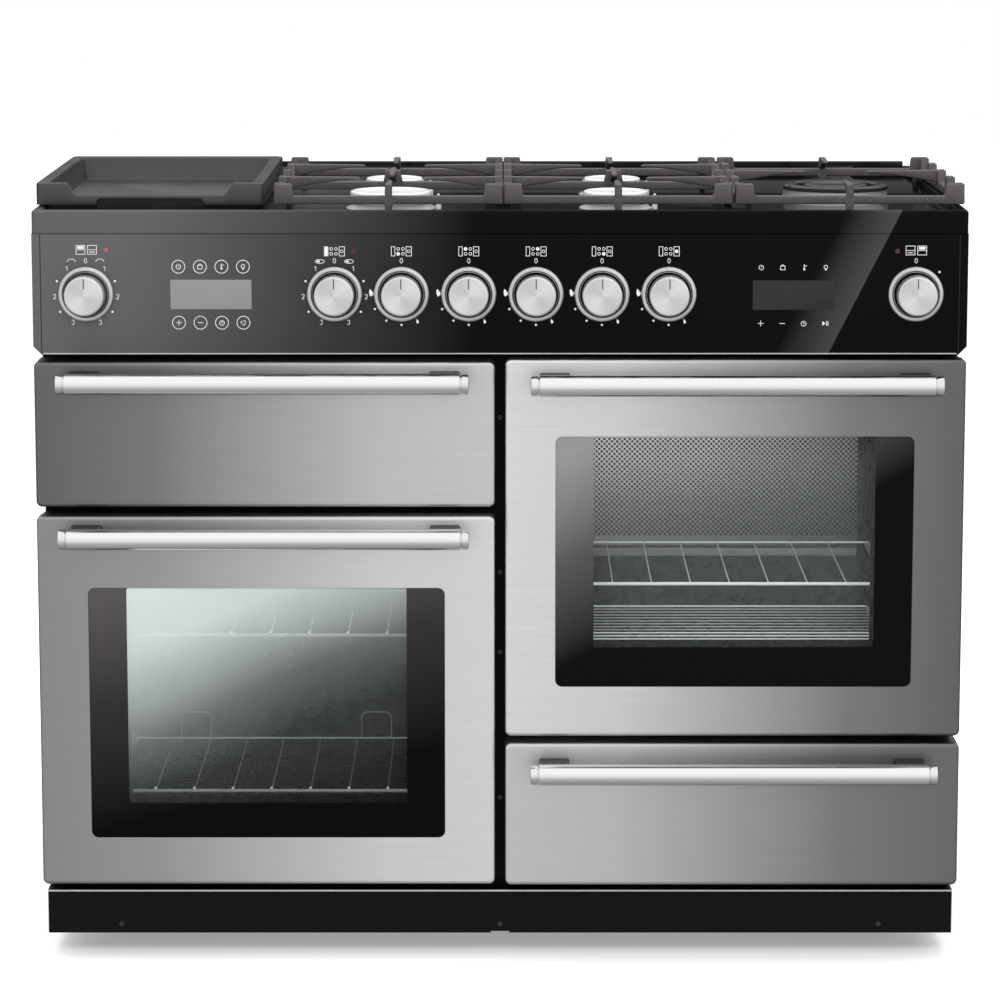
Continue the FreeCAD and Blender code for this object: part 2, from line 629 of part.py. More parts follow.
def make_door(name, x_span, z_span, glass_z, clear_z):
    """A drop-down door: skin, liner with window tunnel and hinge cheeks, panes and handle."""
    centre = s.main_centre if name == "main" else s.second_centre
    low = z_span[0]
    skin = front_shell(x_span, z_span, s.skin_return)
    window = plate(about(centre, s.glass_half), (front - s.sheet, deep(2 * s.sheet)), glass_z,
                   s.glass_corner)
    hinge_x = [centre + side * s.hinge_offset for side in (-1, 1)]
    skin_notches = [box(about(x, s.cheek_gap), (deep(2 * s.sheet), deep(s.skin_return + s.sheet)),
                        (low - s.sheet, low + 2 * s.sheet)) for x in hinge_x]
    publish(f"{name}_door_skin", cut(skin, window, *skin_notches))

    liner_start, inner_face = deep(s.sheet + s.glass_thick), deep(s.door_depth)
    outer = plate(inset(x_span, s.sheet), (liner_start, inner_face), inset(z_span, s.sheet),
                  s.door_corner)
    hollow = plate(inset(x_span, 2 * s.sheet), (liner_start - s.sheet, inner_face - s.sheet),
                   inset(z_span, 2 * s.sheet), s.door_corner - s.sheet)
    tray = cut(outer, hollow)
    wide, tall = about(centre, s.clear_half), clear_z
    margin = s.tunnel_margin
    tunnel = cut(box(inset(wide, -margin - s.sheet), (liner_start, inner_face),
                     inset(tall, -margin - s.sheet)),
                 box(inset(wide, -margin), (liner_start - s.sheet, inner_face - s.sheet),
                     inset(tall, -margin)))
    cheeks = []
    notches = []
    for x in hinge_x:
        for side in (-1, 1):
            start = x + side * s.cheek_gap
            end = start + side * s.cheek_thick
            cheeks.append(box((start, end) if side > 0 else (end, start), (liner_start, inner_face),
                              (low + s.sheet, low + s.cheek_high)))
        notches.append(box(about(x, s.cheek_gap), (liner_start - s.sheet, inner_face + s.sheet),
                           (low - s.sheet, low + s.notch_high)))
        notches.append(rod("x", x - 3 * s.cheek_thick, deep(s.pivot_back), low + s.pivot_up,
                           s.pin_bore, 6 * s.cheek_thick))
    clear = box(wide, (liner_start - s.sheet, inner_face + s.sheet), tall)
    publish(f"{name}_door_liner", cut(fuse(tray, tunnel, *cheeks), clear, *notches))

    lap = -s.glass_lap
    outer_pane = plate(about(centre, s.glass_half + s.glass_lap),
                       (deep(s.sheet), deep(s.sheet + s.glass_thick)), inset(glass_z, lap),
                       s.glass_corner)
    pane_edge = s.gap - margin
    inner_pane = plate(inset(wide, pane_edge),
                       (inner_face - s.sheet - s.glass_thick, inner_face - s.sheet),
                       inset(tall, pane_edge), s.glass_corner)
    publish(f"{name}_door_glass", group(outer_pane, inner_pane))


def make_hinge_arms():
    """Four arms that stand out of the frame, each with a cross pin that carries a door."""
    arms = []
    for centre, low in ((s.main_centre, s.main_low), (s.second_centre, s.second_low)):
        for side in (-1, 1):
            x = centre + side * s.hinge_offset
            y, z = deep(s.pivot_back), low + s.pivot_up
            reach = s.cheek_gap + s.cheek_thick - s.gap
            arms.append(fuse(
                box(about(x, s.arm_half), (y, deep(s.arm_tail)), about(z, s.arm_half_height)),
                rod("x", x - s.arm_half, y, z, s.arm_eye, 2 * s.arm_half),
                rod("x", x - reach, y, z, s.pin_radius, 2 * reach)))
    publish("hinge_arms", group(*arms))


def make_doors():
    """Both oven doors with their handles and hinges."""
    left, right = (-s.half_width, -s.half_mullion), (s.half_mullion, s.half_width)
    make_door("main", left, (s.main_low, s.main_high), (s.main_glass_low, s.main_glass_high),
              (s.main_clear_low, s.main_clear_high))
    make_door("second", right, (s.second_low, s.second_high),
              (s.second_glass_low, s.second_glass_high), (s.second_clear_low, s.second_clear_high))
    make_handle("main_door_handle", s.main_centre, s.main_handle_z)
    make_handle("second_door_handle", s.second_centre, s.second_handle_z)
    make_hinge_arms()


# ---------------------------------------------------------------- grill and proving drawer

def channel_outline(wall, side, z, wide, high, start):
    """The outline of a channel that opens away from the wall, as X and Z."""
    back_x = wall - side * start
    web = back_x - side * s.channel
    lip = back_x - side * wide
    low, high_z = z - high / 2, z + high / 2
    return [(back_x, low), (lip, low), (lip, low + s.channel), (web, low + s.channel),
            (web, high_z - s.channel), (lip, high_z - s.channel), (lip, high_z), (back_x, high_z)]


def runner_set(centre, z, length):
    """Outer, middle and inner members of the telescopic runners at both walls."""
    sets = {"outer": [], "middle": [], "inner": []}
    span = (deep(s.runner_front), deep(s.runner_front) + length)
    step = s.channel + s.runner_gap
    for side in (-1, 1):
        wall = centre + side * s.cavity_half
        sets["outer"].append(prism("y", channel_outline(
            wall, side, z, s.outer_wide, s.runner_high, as_size(0)), span))
        middle_high = s.runner_high - 2 * step
        sets["middle"].append(prism("y", channel_outline(
            wall, side, z, s.middle_wide, middle_high, step), span))
        inner_high = middle_high - 2 * step
        near = wall - side * 2 * step
        far = near - side * (s.inner_wide + s.outer_wide / 2)
        sets["inner"].append(box((near, far) if side < 0 else (far, near), span,
                                 about(z, inner_high / 2)))
    return sets


def make_front(name, x_span, z_span):
    """A drawer front: a pressed shell closed by a back plate."""
    shell = front_shell(x_span, z_span, s.door_depth)
    cover = plate(inset(x_span, s.sheet), (deep(s.door_depth - s.sheet), deep(s.door_depth)),
                  inset(z_span, s.sheet), s.door_corner)
    publish(name, fuse(shell, cover))


def inner_faces(centre):
    """The span between the inner faces of both inner runners."""
    reach = s.cavity_half - 2 * (s.channel + s.runner_gap) - s.inner_wide - s.outer_wide / 2
    return about(centre, reach)


def tray_box(x_span, y_span, z_span):
    """An open-topped sheet box."""
    hollow = box(inset(x_span, s.pan_wall), inset(y_span, s.pan_wall),
                 (z_span[0] + s.pan_wall, z_span[1] + s.pan_wall))
    return cut(box(x_span, y_span, z_span), hollow)


TRIVET_GAPS = 10


def make_grill():
    """The glide-out grill: front, handle, carriage with the pan and its wire trivet."""
    make_front("grill_front", (-s.half_width, -s.half_mullion), (s.grill_low, s.grill_high))
    make_handle("grill_handle", s.main_centre, s.grill_handle_z)
    runners = runner_set(s.main_centre, s.grill_runner_z, s.runner_long)
    x_span = inner_faces(s.main_centre)
    z_span = about(s.grill_runner_z, s.carriage_wide / 2)
    y_span = (deep(s.door_depth), deep(s.door_depth + s.carriage_deep))
    ring = cut(box(x_span, y_span, z_span),
               box(inset(x_span, s.carriage_wide), inset(y_span, s.carriage_wide),
                   inset(z_span, -s.sheet)))
    pan_x, pan_y = inset(x_span, s.pan_inset), inset(y_span, s.pan_inset)
    pan_top = z_span[1] + 2 * s.sheet
    pan = fuse(tray_box(pan_x, pan_y, (pan_top - s.pan_high, pan_top)),
               cut(box(inset(pan_x, -s.pan_inset / 2), inset(pan_y, -s.pan_inset / 2),
                       (pan_top - s.pan_wall, pan_top)),
                   box(inset(pan_x, s.pan_wall), inset(pan_y, s.pan_wall),
                       (pan_top - s.pan_high, pan_top + s.sheet))))
    lift = cut(box(inset(pan_x, -s.pan_inset / 2), inset(pan_y, -s.pan_inset / 2),
                   (z_span[1], pan_top - s.pan_wall)),
               box(pan_x, pan_y, (z_span[1] - s.sheet, pan_top)))
    trivet_z = pan_top - s.pan_wall - 2 * s.rod_radius
    trivet_x = inset(pan_x, s.pan_wall + s.rod_radius + s.gap)
    trivet_y = inset(pan_y, s.pan_wall + s.rod_radius + s.gap)
    wide, long = trivet_x[1] - trivet_x[0], trivet_y[1] - trivet_y[0]
    rods = [rod("x", trivet_x[0] - s.rod_radius, y, trivet_z, s.rod_radius,
                wide + 2 * s.rod_radius) for y in trivet_y]
    rods += [rod("y", trivet_x[0] + wide * index / TRIVET_GAPS, trivet_y[0], trivet_z,
                 s.link_radius, long) for index in range(TRIVET_GAPS + 1)]
    rods += [rod("z", x, y, pan_top - s.pan_high + s.pan_wall, s.link_radius,
                 trivet_z - pan_top + s.pan_high - s.pan_wall)
             for x in inset(trivet_x, s.carriage_wide) for y in trivet_y]
    publish("grill_carriage", group(fuse(ring, *runners["inner"], lift), pan, fuse(*rods)))
    publish("grill_runner_middles", group(*runners["middle"]))
    return runners["outer"]


def make_proving_drawer():
    """The proving drawer: front, handle and an open box on runners."""
    make_front("proving_front", (s.half_mullion, s.half_width), (s.proving_low, s.proving_high))
    make_handle("proving_handle", s.second_centre, s.proving_handle_z)
    runners = runner_set(s.second_centre, s.proving_runner_z, s.proving_runner_long)
    x_span = inner_faces(s.second_centre)
    y_span = (deep(s.door_depth), deep(s.door_depth + s.drawer_box_deep))
    tub = tray_box(x_span, y_span, (s.drawer_box_low, s.drawer_box_high))
    publish("proving_box", fuse(tub, *runners["inner"]))
    publish("proving_runner_middles", group(*runners["middle"]))
    return runners["outer"]


# ---------------------------------------------------------------- fascia and controls

KNOB_PLACES = {
    "grill_knob": -483, "griddle_knob": -193, "front_left_burner_knob": -115,
    "rear_left_burner_knob": -36.5, "rear_right_burner_knob": 42, "front_right_burner_knob": 119,
    "wok_burner_knob": 197, "proving_knob": 485,
}


def make_fascia():
    """The glass-fronted control fascia with its folded edges and chamfered lower corners."""
    low, high = s.fascia_low, s.fascia_high
    outline = [(-s.half_width + s.fascia_chamfer, low), (s.half_width - s.fascia_chamfer, low),
               (s.half_width, low + s.fascia_chamfer), (s.half_width, high), (-s.half_width, high),
               (-s.half_width, low + s.fascia_chamfer)]
    body = prism("y", outline, (front, deep(s.fascia_deep)))
    hollow = box(about(as_size(0), s.half_width - s.fascia_chamfer),
                 (deep(s.fascia_glass), deep(s.fascia_deep + s.sheet)),
                 (low + s.fascia_glass, high - s.fascia_glass))
    holes = [rod("y", as_size(x), front - s.sheet, s.knob_z, s.spindle_hole, s.fascia_deep)
             for x in KNOB_PLACES.values()]
    holes += [box(about(x, s.display_half), (front - s.sheet, deep(s.fascia_deep)),
                  about(s.display_z, s.display_half_high))
              for x in (s.left_display_x, s.right_display_x)]
    publish("control_fascia", cut(body, hollow, *holes))


def make_knobs():
    """Eight bezels, eight knobs, five push-in spindles, and the taps and switches behind."""
    bezels, taps, switches = [], [], []
    for name, across in KNOB_PLACES.items():
        x = as_size(across)
        out = s.bezel_out
        bezels.append(turned("front", x, front, s.knob_z,
                             [(s.bezel_bore, 0), (s.bezel_radius, 0), (s.bezel_radius, out - s.sheet),
                              (s.bezel_radius - s.sheet, out), (s.bezel_bore, out)]))
        is_gas = "burner" in name
        bore = s.spindle_bore if is_gas else s.spindle_radius
        top, base = s.knob_out, s.knob_base
        knob = turned("front", x, front, s.knob_z,
                      [(bore, base), (s.knob_radius, base), (s.knob_radius, top - 2 * s.sheet),
                       (s.knob_radius - 2 * s.sheet, top), (0, top),
                       (0, base + s.knob_bore_deep), (bore, base + s.knob_bore_deep)])
        start = front - base - s.knob_bore_deep
        end = deep(s.spindle_deep)
        tap_y = (deep(s.control_front), deep(s.control_front + s.control_deep))
        tap = plate(about(x, s.control_half), tap_y, about(s.knob_z, s.control_half), s.door_corner)
        hole = rod("y", x, tap_y[0] - s.sheet, s.knob_z, s.tap_bore, s.tap_bore_deep + s.sheet)
        if is_gas:
            publish(name, knob)
            spindle = rod("y", x, start + s.gap, s.knob_z, s.spindle_radius,
                          end - s.spindle_gap - start)
            publish(name.replace("_knob", "_spindle"), spindle)
            taps.append(cut(tap, hole))
        else:
            shaft = rod("y", x, start, s.knob_z, s.spindle_radius, end - s.spindle_gap - start)
            publish(name, fuse(knob, shaft))
            switches.append(cut(tap, hole))
    publish("knob_bezels", group(*bezels))

    rail_y, rail_z = deep(s.control_front + s.control_deep / 2), s.knob_z - s.rail_drop
    rail = rod("x", s.rail_centre - s.rail_half - s.control_half, rail_y, rail_z, s.rail_radius,
               s.inlet_x - s.rail_centre + s.rail_half + s.control_half)
    back_run = rod("y", s.inlet_x, rail_y, rail_z, s.rail_radius,
                   back - s.rear_setback - s.sheet - s.inlet_out - rail_y)
    drop_y = back - s.rear_setback - s.sheet - s.inlet_out
    drop = rod("z", s.inlet_x, drop_y, s.inlet_z, s.rail_radius, rail_z - s.inlet_z)
    elbow = rod("y", s.inlet_x, drop_y, s.inlet_z, s.rail_radius, s.inlet_out / 2)
    inlet_y = drop_y + s.rail_radius + s.sheet
    inlet = rod("y", s.inlet_x, inlet_y, s.inlet_z, s.inlet_radius, back - s.sheet - inlet_y)
    publish("gas_manifold", fuse(rail, back_run, drop, elbow, inlet, *taps))

    modules = [box(about(x, s.display_half - s.gap), (deep(s.sheet / 2), deep(s.display_deep)),
                   about(s.display_z, s.display_half_high - s.gap))
               for x in (s.left_display_x, s.right_display_x)]
    publish("electric_controls", group(*switches, *modules))


# ---------------------------------------------------------------- hob

def burner_list():
    """The radius and centre of each burner's cap."""
    return [(s.rapid_radius, s.first_grate, s.front_burners),
            (s.semi_radius, s.first_grate, s.rear_burners),
            (s.semi_radius, s.second_grate, s.rear_burners),
            (s.medium_radius, s.second_grate, s.front_burners),
            (s.wok_inner, s.third_grate, s.wok_row)]


def make_hob():
    """The hob: a rim with rounded front corners round a lower deck, with a hole at each burner."""
    whole = prism("z", [(-s.half_width, front), (s.half_width, front), (s.half_width, back),
                        (-s.half_width, back)], (s.hob_bottom, s.hob_top), s.hob_corner)
    inside_x, inside_y = about(as_size(0), s.half_width - s.rim_wide), inset((front, back), s.rim_wide)
    recess = box(inside_x, inside_y, (s.deck_top, s.hob_top + s.sheet))
    hollow = box(about(as_size(0), s.half_width - 2 * s.sheet), inset((front, back), 2 * s.sheet),
                 (s.hob_bottom - s.sheet, s.deck_top - s.deck_thick))
    holes = [rod("z", x, deep(y), s.deck_top - 2 * s.deck_thick, radius - s.burner_hole_step,
                 3 * s.deck_thick) for radius, x, y in burner_list()]
    rail_y = (back - s.rim_wide + s.sheet, back - s.sheet)
    rear_rail = box(about(as_size(0), s.half_width - s.rim_wide), rail_y,
                    (s.hob_top - s.sheet, s.hob_top + s.rear_rail_high))
    slots = [box(about(x, s.flue_slot_half), inset(rail_y, s.flue_slot_inset),
                 (s.hob_top + s.sheet, s.hob_top + 2 * s.rear_rail_high))
             for x in (-s.flue_slot_x, as_size(0), s.flue_slot_x)]
    publish("hob_plate", fuse(cut(whole, recess, hollow, *holes), cut(rear_rail, *slots)))


def make_burners():
    """Burner heads with their cups and igniters, and the caps on them."""
    heads, caps = [], []
    deck, cap_low = s.deck_top, s.cap_top - s.cap_thick
    for radius, x, y in burner_list():
        hole = radius - s.burner_hole_step - s.gap
        body = radius - s.head_step
        heads.append(turned("z", x, deep(y), 0, [
            (0, s.burner_cup_low), (hole, s.burner_cup_low), (hole, deck),
            (body + s.burner_skirt, deck), (body + s.burner_skirt, deck + s.sheet),
            (body, deck + 3 * s.sheet), (body, cap_low), (0, cap_low)]))
        caps.append(turned("z", x, deep(y), 0, [
            (0, cap_low), (radius, cap_low), (radius, s.cap_top - 2 * s.sheet),
            (radius - 2 * s.sheet, s.cap_top), (0, s.cap_top)]))
    x, y = s.third_grate, deep(s.wok_row)
    ring_in, ring_out = s.wok_ring_in, s.wok_ring_out
    heads.append(turned("z", x, y, 0, [
        (ring_in + s.sheet, deck), (ring_out + s.sheet, deck),
        (ring_out - s.sheet, cap_low), (ring_in + s.sheet, cap_low)]))
    caps.append(turned("z", x, y, 0, [
        (ring_in, cap_low), (ring_out, cap_low), (ring_out, s.cap_top - 2 * s.sheet),
        (ring_out - 2 * s.sheet, s.cap_top), (ring_in, s.cap_top)]))
    for radius, x, y in burner_list()[:-1]:
        reach = radius - s.head_step + s.burner_skirt + s.igniter_radius + s.gap
        heads.append(rod("z", x + reach, deep(y), deck, s.igniter_radius, s.igniter_high - deck))
    publish("burner_heads", group(*heads))
    publish("burner_caps", group(*caps))


def make_griddle():
    """The cast griddle: a cooking plate inside walls that are low at the front, on four feet."""
    x_span = (s.griddle_left, s.griddle_right)
    y_span = (deep(s.grate_front), deep(s.grate_rear))
    centre = (s.griddle_left + s.griddle_right) / 2
    walls = prism("z", rectangle(x_span, y_span), (s.griddle_wall_low, s.griddle_high),
                  s.griddle_corner)
    belly = prism("z", rectangle(inset(x_span, s.griddle_belly), inset(y_span, s.griddle_belly)),
                  (s.griddle_low, s.griddle_high), s.griddle_corner)
    basin = prism("z", rectangle(inset(x_span, s.griddle_wall), inset(y_span, s.griddle_wall)),
                  (s.griddle_plate, s.griddle_high + s.sheet), s.griddle_corner)
    lip, slope = s.griddle_lip_half, s.griddle_slope
    front_cut = prism("y", [(centre - lip, s.griddle_lip_high), (centre + lip, s.griddle_lip_high),
                            (centre + lip + slope, s.griddle_high + s.sheet),
                            (centre - lip - slope, s.griddle_high + s.sheet)],
                      (y_span[0] - s.sheet, y_span[0] + s.griddle_wall + s.sheet))
    recess = box(about(centre, s.griddle_recess_half), (y_span[0] - s.sheet, y_span[0] + s.griddle_belly),
                 (s.griddle_wall_low - s.sheet, s.griddle_wall_low + s.griddle_recess_high))
    feet = [rod("z", x, y, s.deck_top, s.griddle_foot, s.griddle_low - s.deck_top)
            for x in inset(x_span, s.griddle_foot_inset)
            for y in inset(y_span, s.griddle_foot_inset)]
    publish("griddle", fuse(cut(fuse(walls, belly), basin, front_cut, recess), *feet))


def lug(x, y, along):
    """A raised lug on a bar: a trapezoid with its long side along x or y."""
    half, top_half = s.lug_long / 2, s.lug_long / 2 - 2 * s.sheet
    centre, across = (x, y) if along == "x" else (y, x)
    outline = [(centre - half, s.bar_low), (centre + half, s.bar_low),
               (centre + top_half, s.lug_high), (centre - top_half, s.lug_high)]
    axis = "y" if along == "x" else "x"
    return prism(axis, outline, about(across, s.bar_wide / 2))


def side_finger(root, tip, y):
    """A finger that tapers from a side bar to a thin tip near the burner."""
    high = s.lug_high
    middle = (root + tip) / 2
    return prism("y", [(root, high - s.finger_root), (middle, high - s.finger_root * 4 / 5),
                       (tip, high - s.finger_tip_deep), (tip, high), (root, high)],
                 about(y, s.finger_half))


def end_finger(x, root, tip):
    """A finger on the centre line, from the front or rear bar or the middle link."""
    high = s.lug_high
    return prism("x", [(root, high - s.finger_root), ((root + tip) / 2, high - s.finger_root * 4 / 5),
                       (tip, high - s.finger_tip_deep), (tip, high), (root, high)],
                 about(x, s.finger_half))


def make_pan_support(name, centre, lug_rows, burner_rows):
    """One cast pan support: a ring of bars with lugs, fingers and feet."""
    x_span = about(centre, s.grate_half)
    y_span = (deep(s.grate_front), deep(s.grate_rear))
    z_span = (s.bar_low, s.bar_high)
    half_bar = s.bar_wide / 2
    pieces = [cut(box(x_span, y_span, z_span),
                  box(inset(x_span, s.bar_wide), inset(y_span, s.bar_wide),
                      inset(z_span, -s.sheet)))]
    for x in inset(x_span, half_bar):
        pieces += [lug(x, deep(row), "y") for row in lug_rows]
        pieces += [lug(x, y, "y") for y in inset(y_span, s.lug_long / 2)]
    for y in inset(y_span, half_bar):
        pieces += [lug(x, y, "x") for x in inset(x_span, s.lug_long / 2)]
    for row in burner_rows:
        for side in (-1, 1):
            root = centre + side * (s.grate_half - s.bar_wide)
            pieces.append(side_finger(root, centre + side * s.finger_tip, deep(row)))
            pieces.append(box(about(root + side * half_bar, half_bar),
                              about(deep(row), s.finger_half), (s.bar_low, s.lug_high)))
    front_root, rear_root = inset(y_span, s.bar_wide)
    pieces.append(end_finger(centre, front_root, deep(s.front_finger_end)))
    pieces.append(end_finger(centre, rear_root, deep(s.rear_finger_start)))
    for y in inset(y_span, half_bar):
        pieces.append(box(about(centre, s.finger_half), about(y, half_bar), (s.deck_top, s.lug_high)))
    if len(burner_rows) > 1:
        pieces.append(box(x_span, about(deep(s.middle_row), half_bar), z_span))
        pieces.append(box(about(centre, s.finger_half),
                          (deep(s.middle_finger_start), deep(s.middle_finger_end)),
                          (s.bar_high, s.lug_high)))
        pieces.append(box(about(centre, s.finger_half), about(deep(s.middle_row), half_bar),
                          (s.bar_low, s.lug_high)))
    for x in inset(x_span, s.grate_foot_inset):
        pieces += [box(about(x, s.grate_foot_half), about(y, s.grate_foot_half),
                       (s.deck_top, s.bar_low)) for y in inset(y_span, s.grate_foot_half)]
    publish(name, fuse(*pieces))


def make_pan_supports():
    """The three pan supports; the right one has one ring of fingers round the wok burner."""
    twin_rows = (s.front_burners, s.rear_burners)
    make_pan_support("left_pan_support", s.first_grate, (s.middle_row,), twin_rows)
    make_pan_support("middle_pan_support", s.second_grate, (s.middle_row,), twin_rows)
    make_pan_support("right_pan_support", s.third_grate, (s.wok_lug_front, s.wok_lug_rear),
                     (s.middle_row,))


# ---------------------------------------------------------------- assembly and files

def make_cooker():
    """Build every sub-part."""
    make_plinth()
    make_screws()
    make_base()
    make_casing()
    make_front_frame()
    make_housings()
    make_seals()
    make_shelves()
    make_fans()
    make_elements()
    make_doors()
    publish("runner_outers", group(*make_grill(), *make_proving_drawer()))
    make_fascia()
    make_knobs()
    make_hob()
    make_burners()
    make_griddle()
    make_pan_supports()


def check_and_write():
    """Check every object of the document, then write each sub-part to its own file."""
    doc.recompute()
    for item in doc.Objects:
        if any(word in state for state in item.State for word in ("Invalid", "Error")):
            raise RuntimeError(f"{item.Label} did not build: {item.State}")
    for name, solid in parts.items():
        if solid.Shape.isNull() or not solid.Shape.isValid():
            raise RuntimeError(f"{name} has no valid shape")
    os.makedirs("parts", exist_ok=True)
    for name, solid in parts.items():
        solid.Shape.exportStep(f"parts/{name}.step")
    print(len(parts), "sub-parts written")


make_cooker()
check_and_write()
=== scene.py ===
"""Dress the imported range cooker: brushed steel fronts, black glass controls and a cast-iron hob.

Axes are the cooker's own: +X to the right, +Y to the back, +Z up, the floor at zero.  Surfaces are in
metres, and a class whose sizes are in millimetres says so.  The front and rear planes are read from
the frame; other places are named values that repeat the CAD's.
"""

from __future__ import annotations

import json
import logging
import math
from dataclasses import dataclass, field
from enum import Enum
from typing import Callable, Sequence

import bmesh
import bpy
import numpy as np
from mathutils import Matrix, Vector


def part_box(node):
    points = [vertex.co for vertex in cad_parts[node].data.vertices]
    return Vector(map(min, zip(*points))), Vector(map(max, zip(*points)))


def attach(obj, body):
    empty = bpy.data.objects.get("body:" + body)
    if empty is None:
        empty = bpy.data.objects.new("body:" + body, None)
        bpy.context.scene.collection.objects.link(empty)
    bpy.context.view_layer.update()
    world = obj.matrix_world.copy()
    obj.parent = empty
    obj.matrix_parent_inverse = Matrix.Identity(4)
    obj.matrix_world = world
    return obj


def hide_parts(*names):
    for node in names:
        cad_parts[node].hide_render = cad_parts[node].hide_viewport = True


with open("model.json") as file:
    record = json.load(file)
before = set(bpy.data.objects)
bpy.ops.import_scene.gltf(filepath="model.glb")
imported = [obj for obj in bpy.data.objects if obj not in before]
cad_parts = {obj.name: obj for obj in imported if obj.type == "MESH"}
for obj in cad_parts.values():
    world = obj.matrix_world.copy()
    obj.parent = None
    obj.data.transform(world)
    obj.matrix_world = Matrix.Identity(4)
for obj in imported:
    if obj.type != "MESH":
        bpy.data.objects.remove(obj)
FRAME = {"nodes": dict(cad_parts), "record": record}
MM = 0.001
LOG = logging.getLogger("range_cooker")
Pair = tuple[float, float]
Pairs = Sequence[Pair]
Span = Pair
Point = tuple[float, float, float]
Colour = Point
Material = bpy.types.Material
Socket = bpy.types.NodeSocket


# ------------------------------------------------------------------------------------ surfaces


class Axis(Enum):
    """The direction that a profile is turned about or an outline is carried along."""

    X = 0
    Y = 1
    Z = 2


@dataclass
class Surface:
    """Points, faces and an optional UV per point.

    Attributes:
        points: an (n, 3) array in metres.
        faces: lists of point numbers.
        uv: an (n, 2) array, or None.
    """

    points: np.ndarray
    faces: list[list[int]]
    uv: np.ndarray | None = None

    def bare(self) -> "Surface":
        """Return the surface without its UVs, for a finish that reads Object coordinates."""
        return Surface(self.points, self.faces)


def merged(surfaces: Sequence[Surface]) -> Surface:
    """Put several surfaces into one.

    Args:
        surfaces: closed shells, all with UVs or all without.

    Returns:
        One surface whose faces are numbered on from shell to shell.
    """
    start = 0
    faces: list[list[int]] = []
    for surface in surfaces:
        faces += [[number + start for number in face] for face in surface.faces]
        start += len(surface.points)
    points = np.vstack([surface.points for surface in surfaces])
    uv = None
    if all(surface.uv is not None for surface in surfaces):
        uv = np.vstack([surface.uv for surface in surfaces])
    return Surface(points, faces, uv)


def loft(rings: np.ndarray, cap_start: bool = True, cap_end: bool = True) -> Surface:
    """Skin a stack of closed rings that all have the same number of points.

    Point (i, j) is point j of ring i, and each face joins (i, j), (i, j+1), (i+1, j+1) and (i+1, j).

    Args:
        rings: an (m, n, 3) array.
        cap_start: whether the first ring is filled.
        cap_end: whether the last ring is filled.

    Returns:
        The skinned surface.
    """
    count, around = rings.shape[:2]
    i, j = np.meshgrid(np.arange(count - 1), np.arange(around), indexing="ij")
    follow = (j + 1) % around
    quads = np.stack([i * around + j, i * around + follow, (i + 1) * around + follow,
                      (i + 1) * around + j], axis=-1).reshape(-1, 4)
    faces = quads.tolist()
    if cap_start:
        faces.append(list(range(around))[::-1])
    if cap_end:
        faces.append([(count - 1) * around + number for number in range(around)])
    return Surface(rings.reshape(-1, 3), faces)


def rounded_outline(across: Span, up: Span, radius: float, steps: int = 6) -> np.ndarray:
    """Return a rectangle with round corners as an (n, 2) array, counter-clockwise.

    Each corner is a quarter circle: centre + radius * (cos a, sin a).

    Args:
        across: low and high of the first direction.
        up: low and high of the second direction.
        radius: the corners' radius, cut to half of the shorter side.
        steps: spaces in each quarter circle.

    Returns:
        The outline's points.
    """
    radius = min(radius, (across[1] - across[0]) / 2, (up[1] - up[0]) / 2)
    radius = max(radius, 1e-6)
    turn = np.linspace(0.0, math.pi / 2, steps + 1)
    corners = []
    centres = [(across[1] - radius, up[1] - radius, 0.0), (across[0] + radius, up[1] - radius, 0.5),
               (across[0] + radius, up[0] + radius, 1.0), (across[1] - radius, up[0] + radius, 1.5)]
    for centre_a, centre_u, half_turns in centres:
        angle = turn + half_turns * math.pi
        corners.append(np.stack([centre_a + radius * np.cos(angle),
                                 centre_u + radius * np.sin(angle)], axis=1))
    return np.vstack(corners)


def lifted(outline: np.ndarray, axis: Axis, level: float | np.ndarray) -> np.ndarray:
    """Put a flat outline at a level along an axis.

    Args:
        outline: an (n, 2) array of the two other coordinates, in X, Y, Z order.
        axis: the axis that the level is along.
        level: one value, or one for each point.

    Returns:
        An (n, 3) array.
    """
    levels = np.broadcast_to(level, (len(outline),))
    columns = [outline[:, 0], outline[:, 1]]
    columns.insert(axis.value, levels)
    return np.stack(columns, axis=1)


def block(across: Span, up: Span, along: Span, axis: Axis, corner: float, edge: float,
          edge_steps: int = 3, corner_steps: int = 6) -> Surface:
    """Return a block with round corners in outline and round edges at both ends.

    The end rings follow a quarter circle: inset = edge * (1 - cos a), level = edge * (1 - sin a).

    Args:
        across: span of the outline's first direction.
        up: span of the outline's second direction.
        along: span along the axis.
        axis: the axis that the outline is carried along.
        corner: radius of the outline's corners.
        edge: radius of the two end edges.
        edge_steps: spaces in each end's quarter circle.
        corner_steps: spaces in each corner.

    Returns:
        A closed surface.
    """
    turn = np.linspace(0.0, math.pi / 2, edge_steps + 1)
    insets = edge * (1 - np.sin(turn))
    levels = edge * (1 - np.cos(turn))
    stations = [(inset, along[0] + level) for inset, level in zip(insets, levels)]
    stations += [(inset, along[1] - level) for inset, level in zip(insets[::-1], levels[::-1])]
    rings = []
    for inset, level in stations:
        outline = rounded_outline((across[0] + inset, across[1] - inset),
                                  (up[0] + inset, up[1] - inset), max(corner - inset, 1e-5),
                                  corner_steps)
        rings.append(lifted(outline, axis, level))
    return loft(np.array(rings))


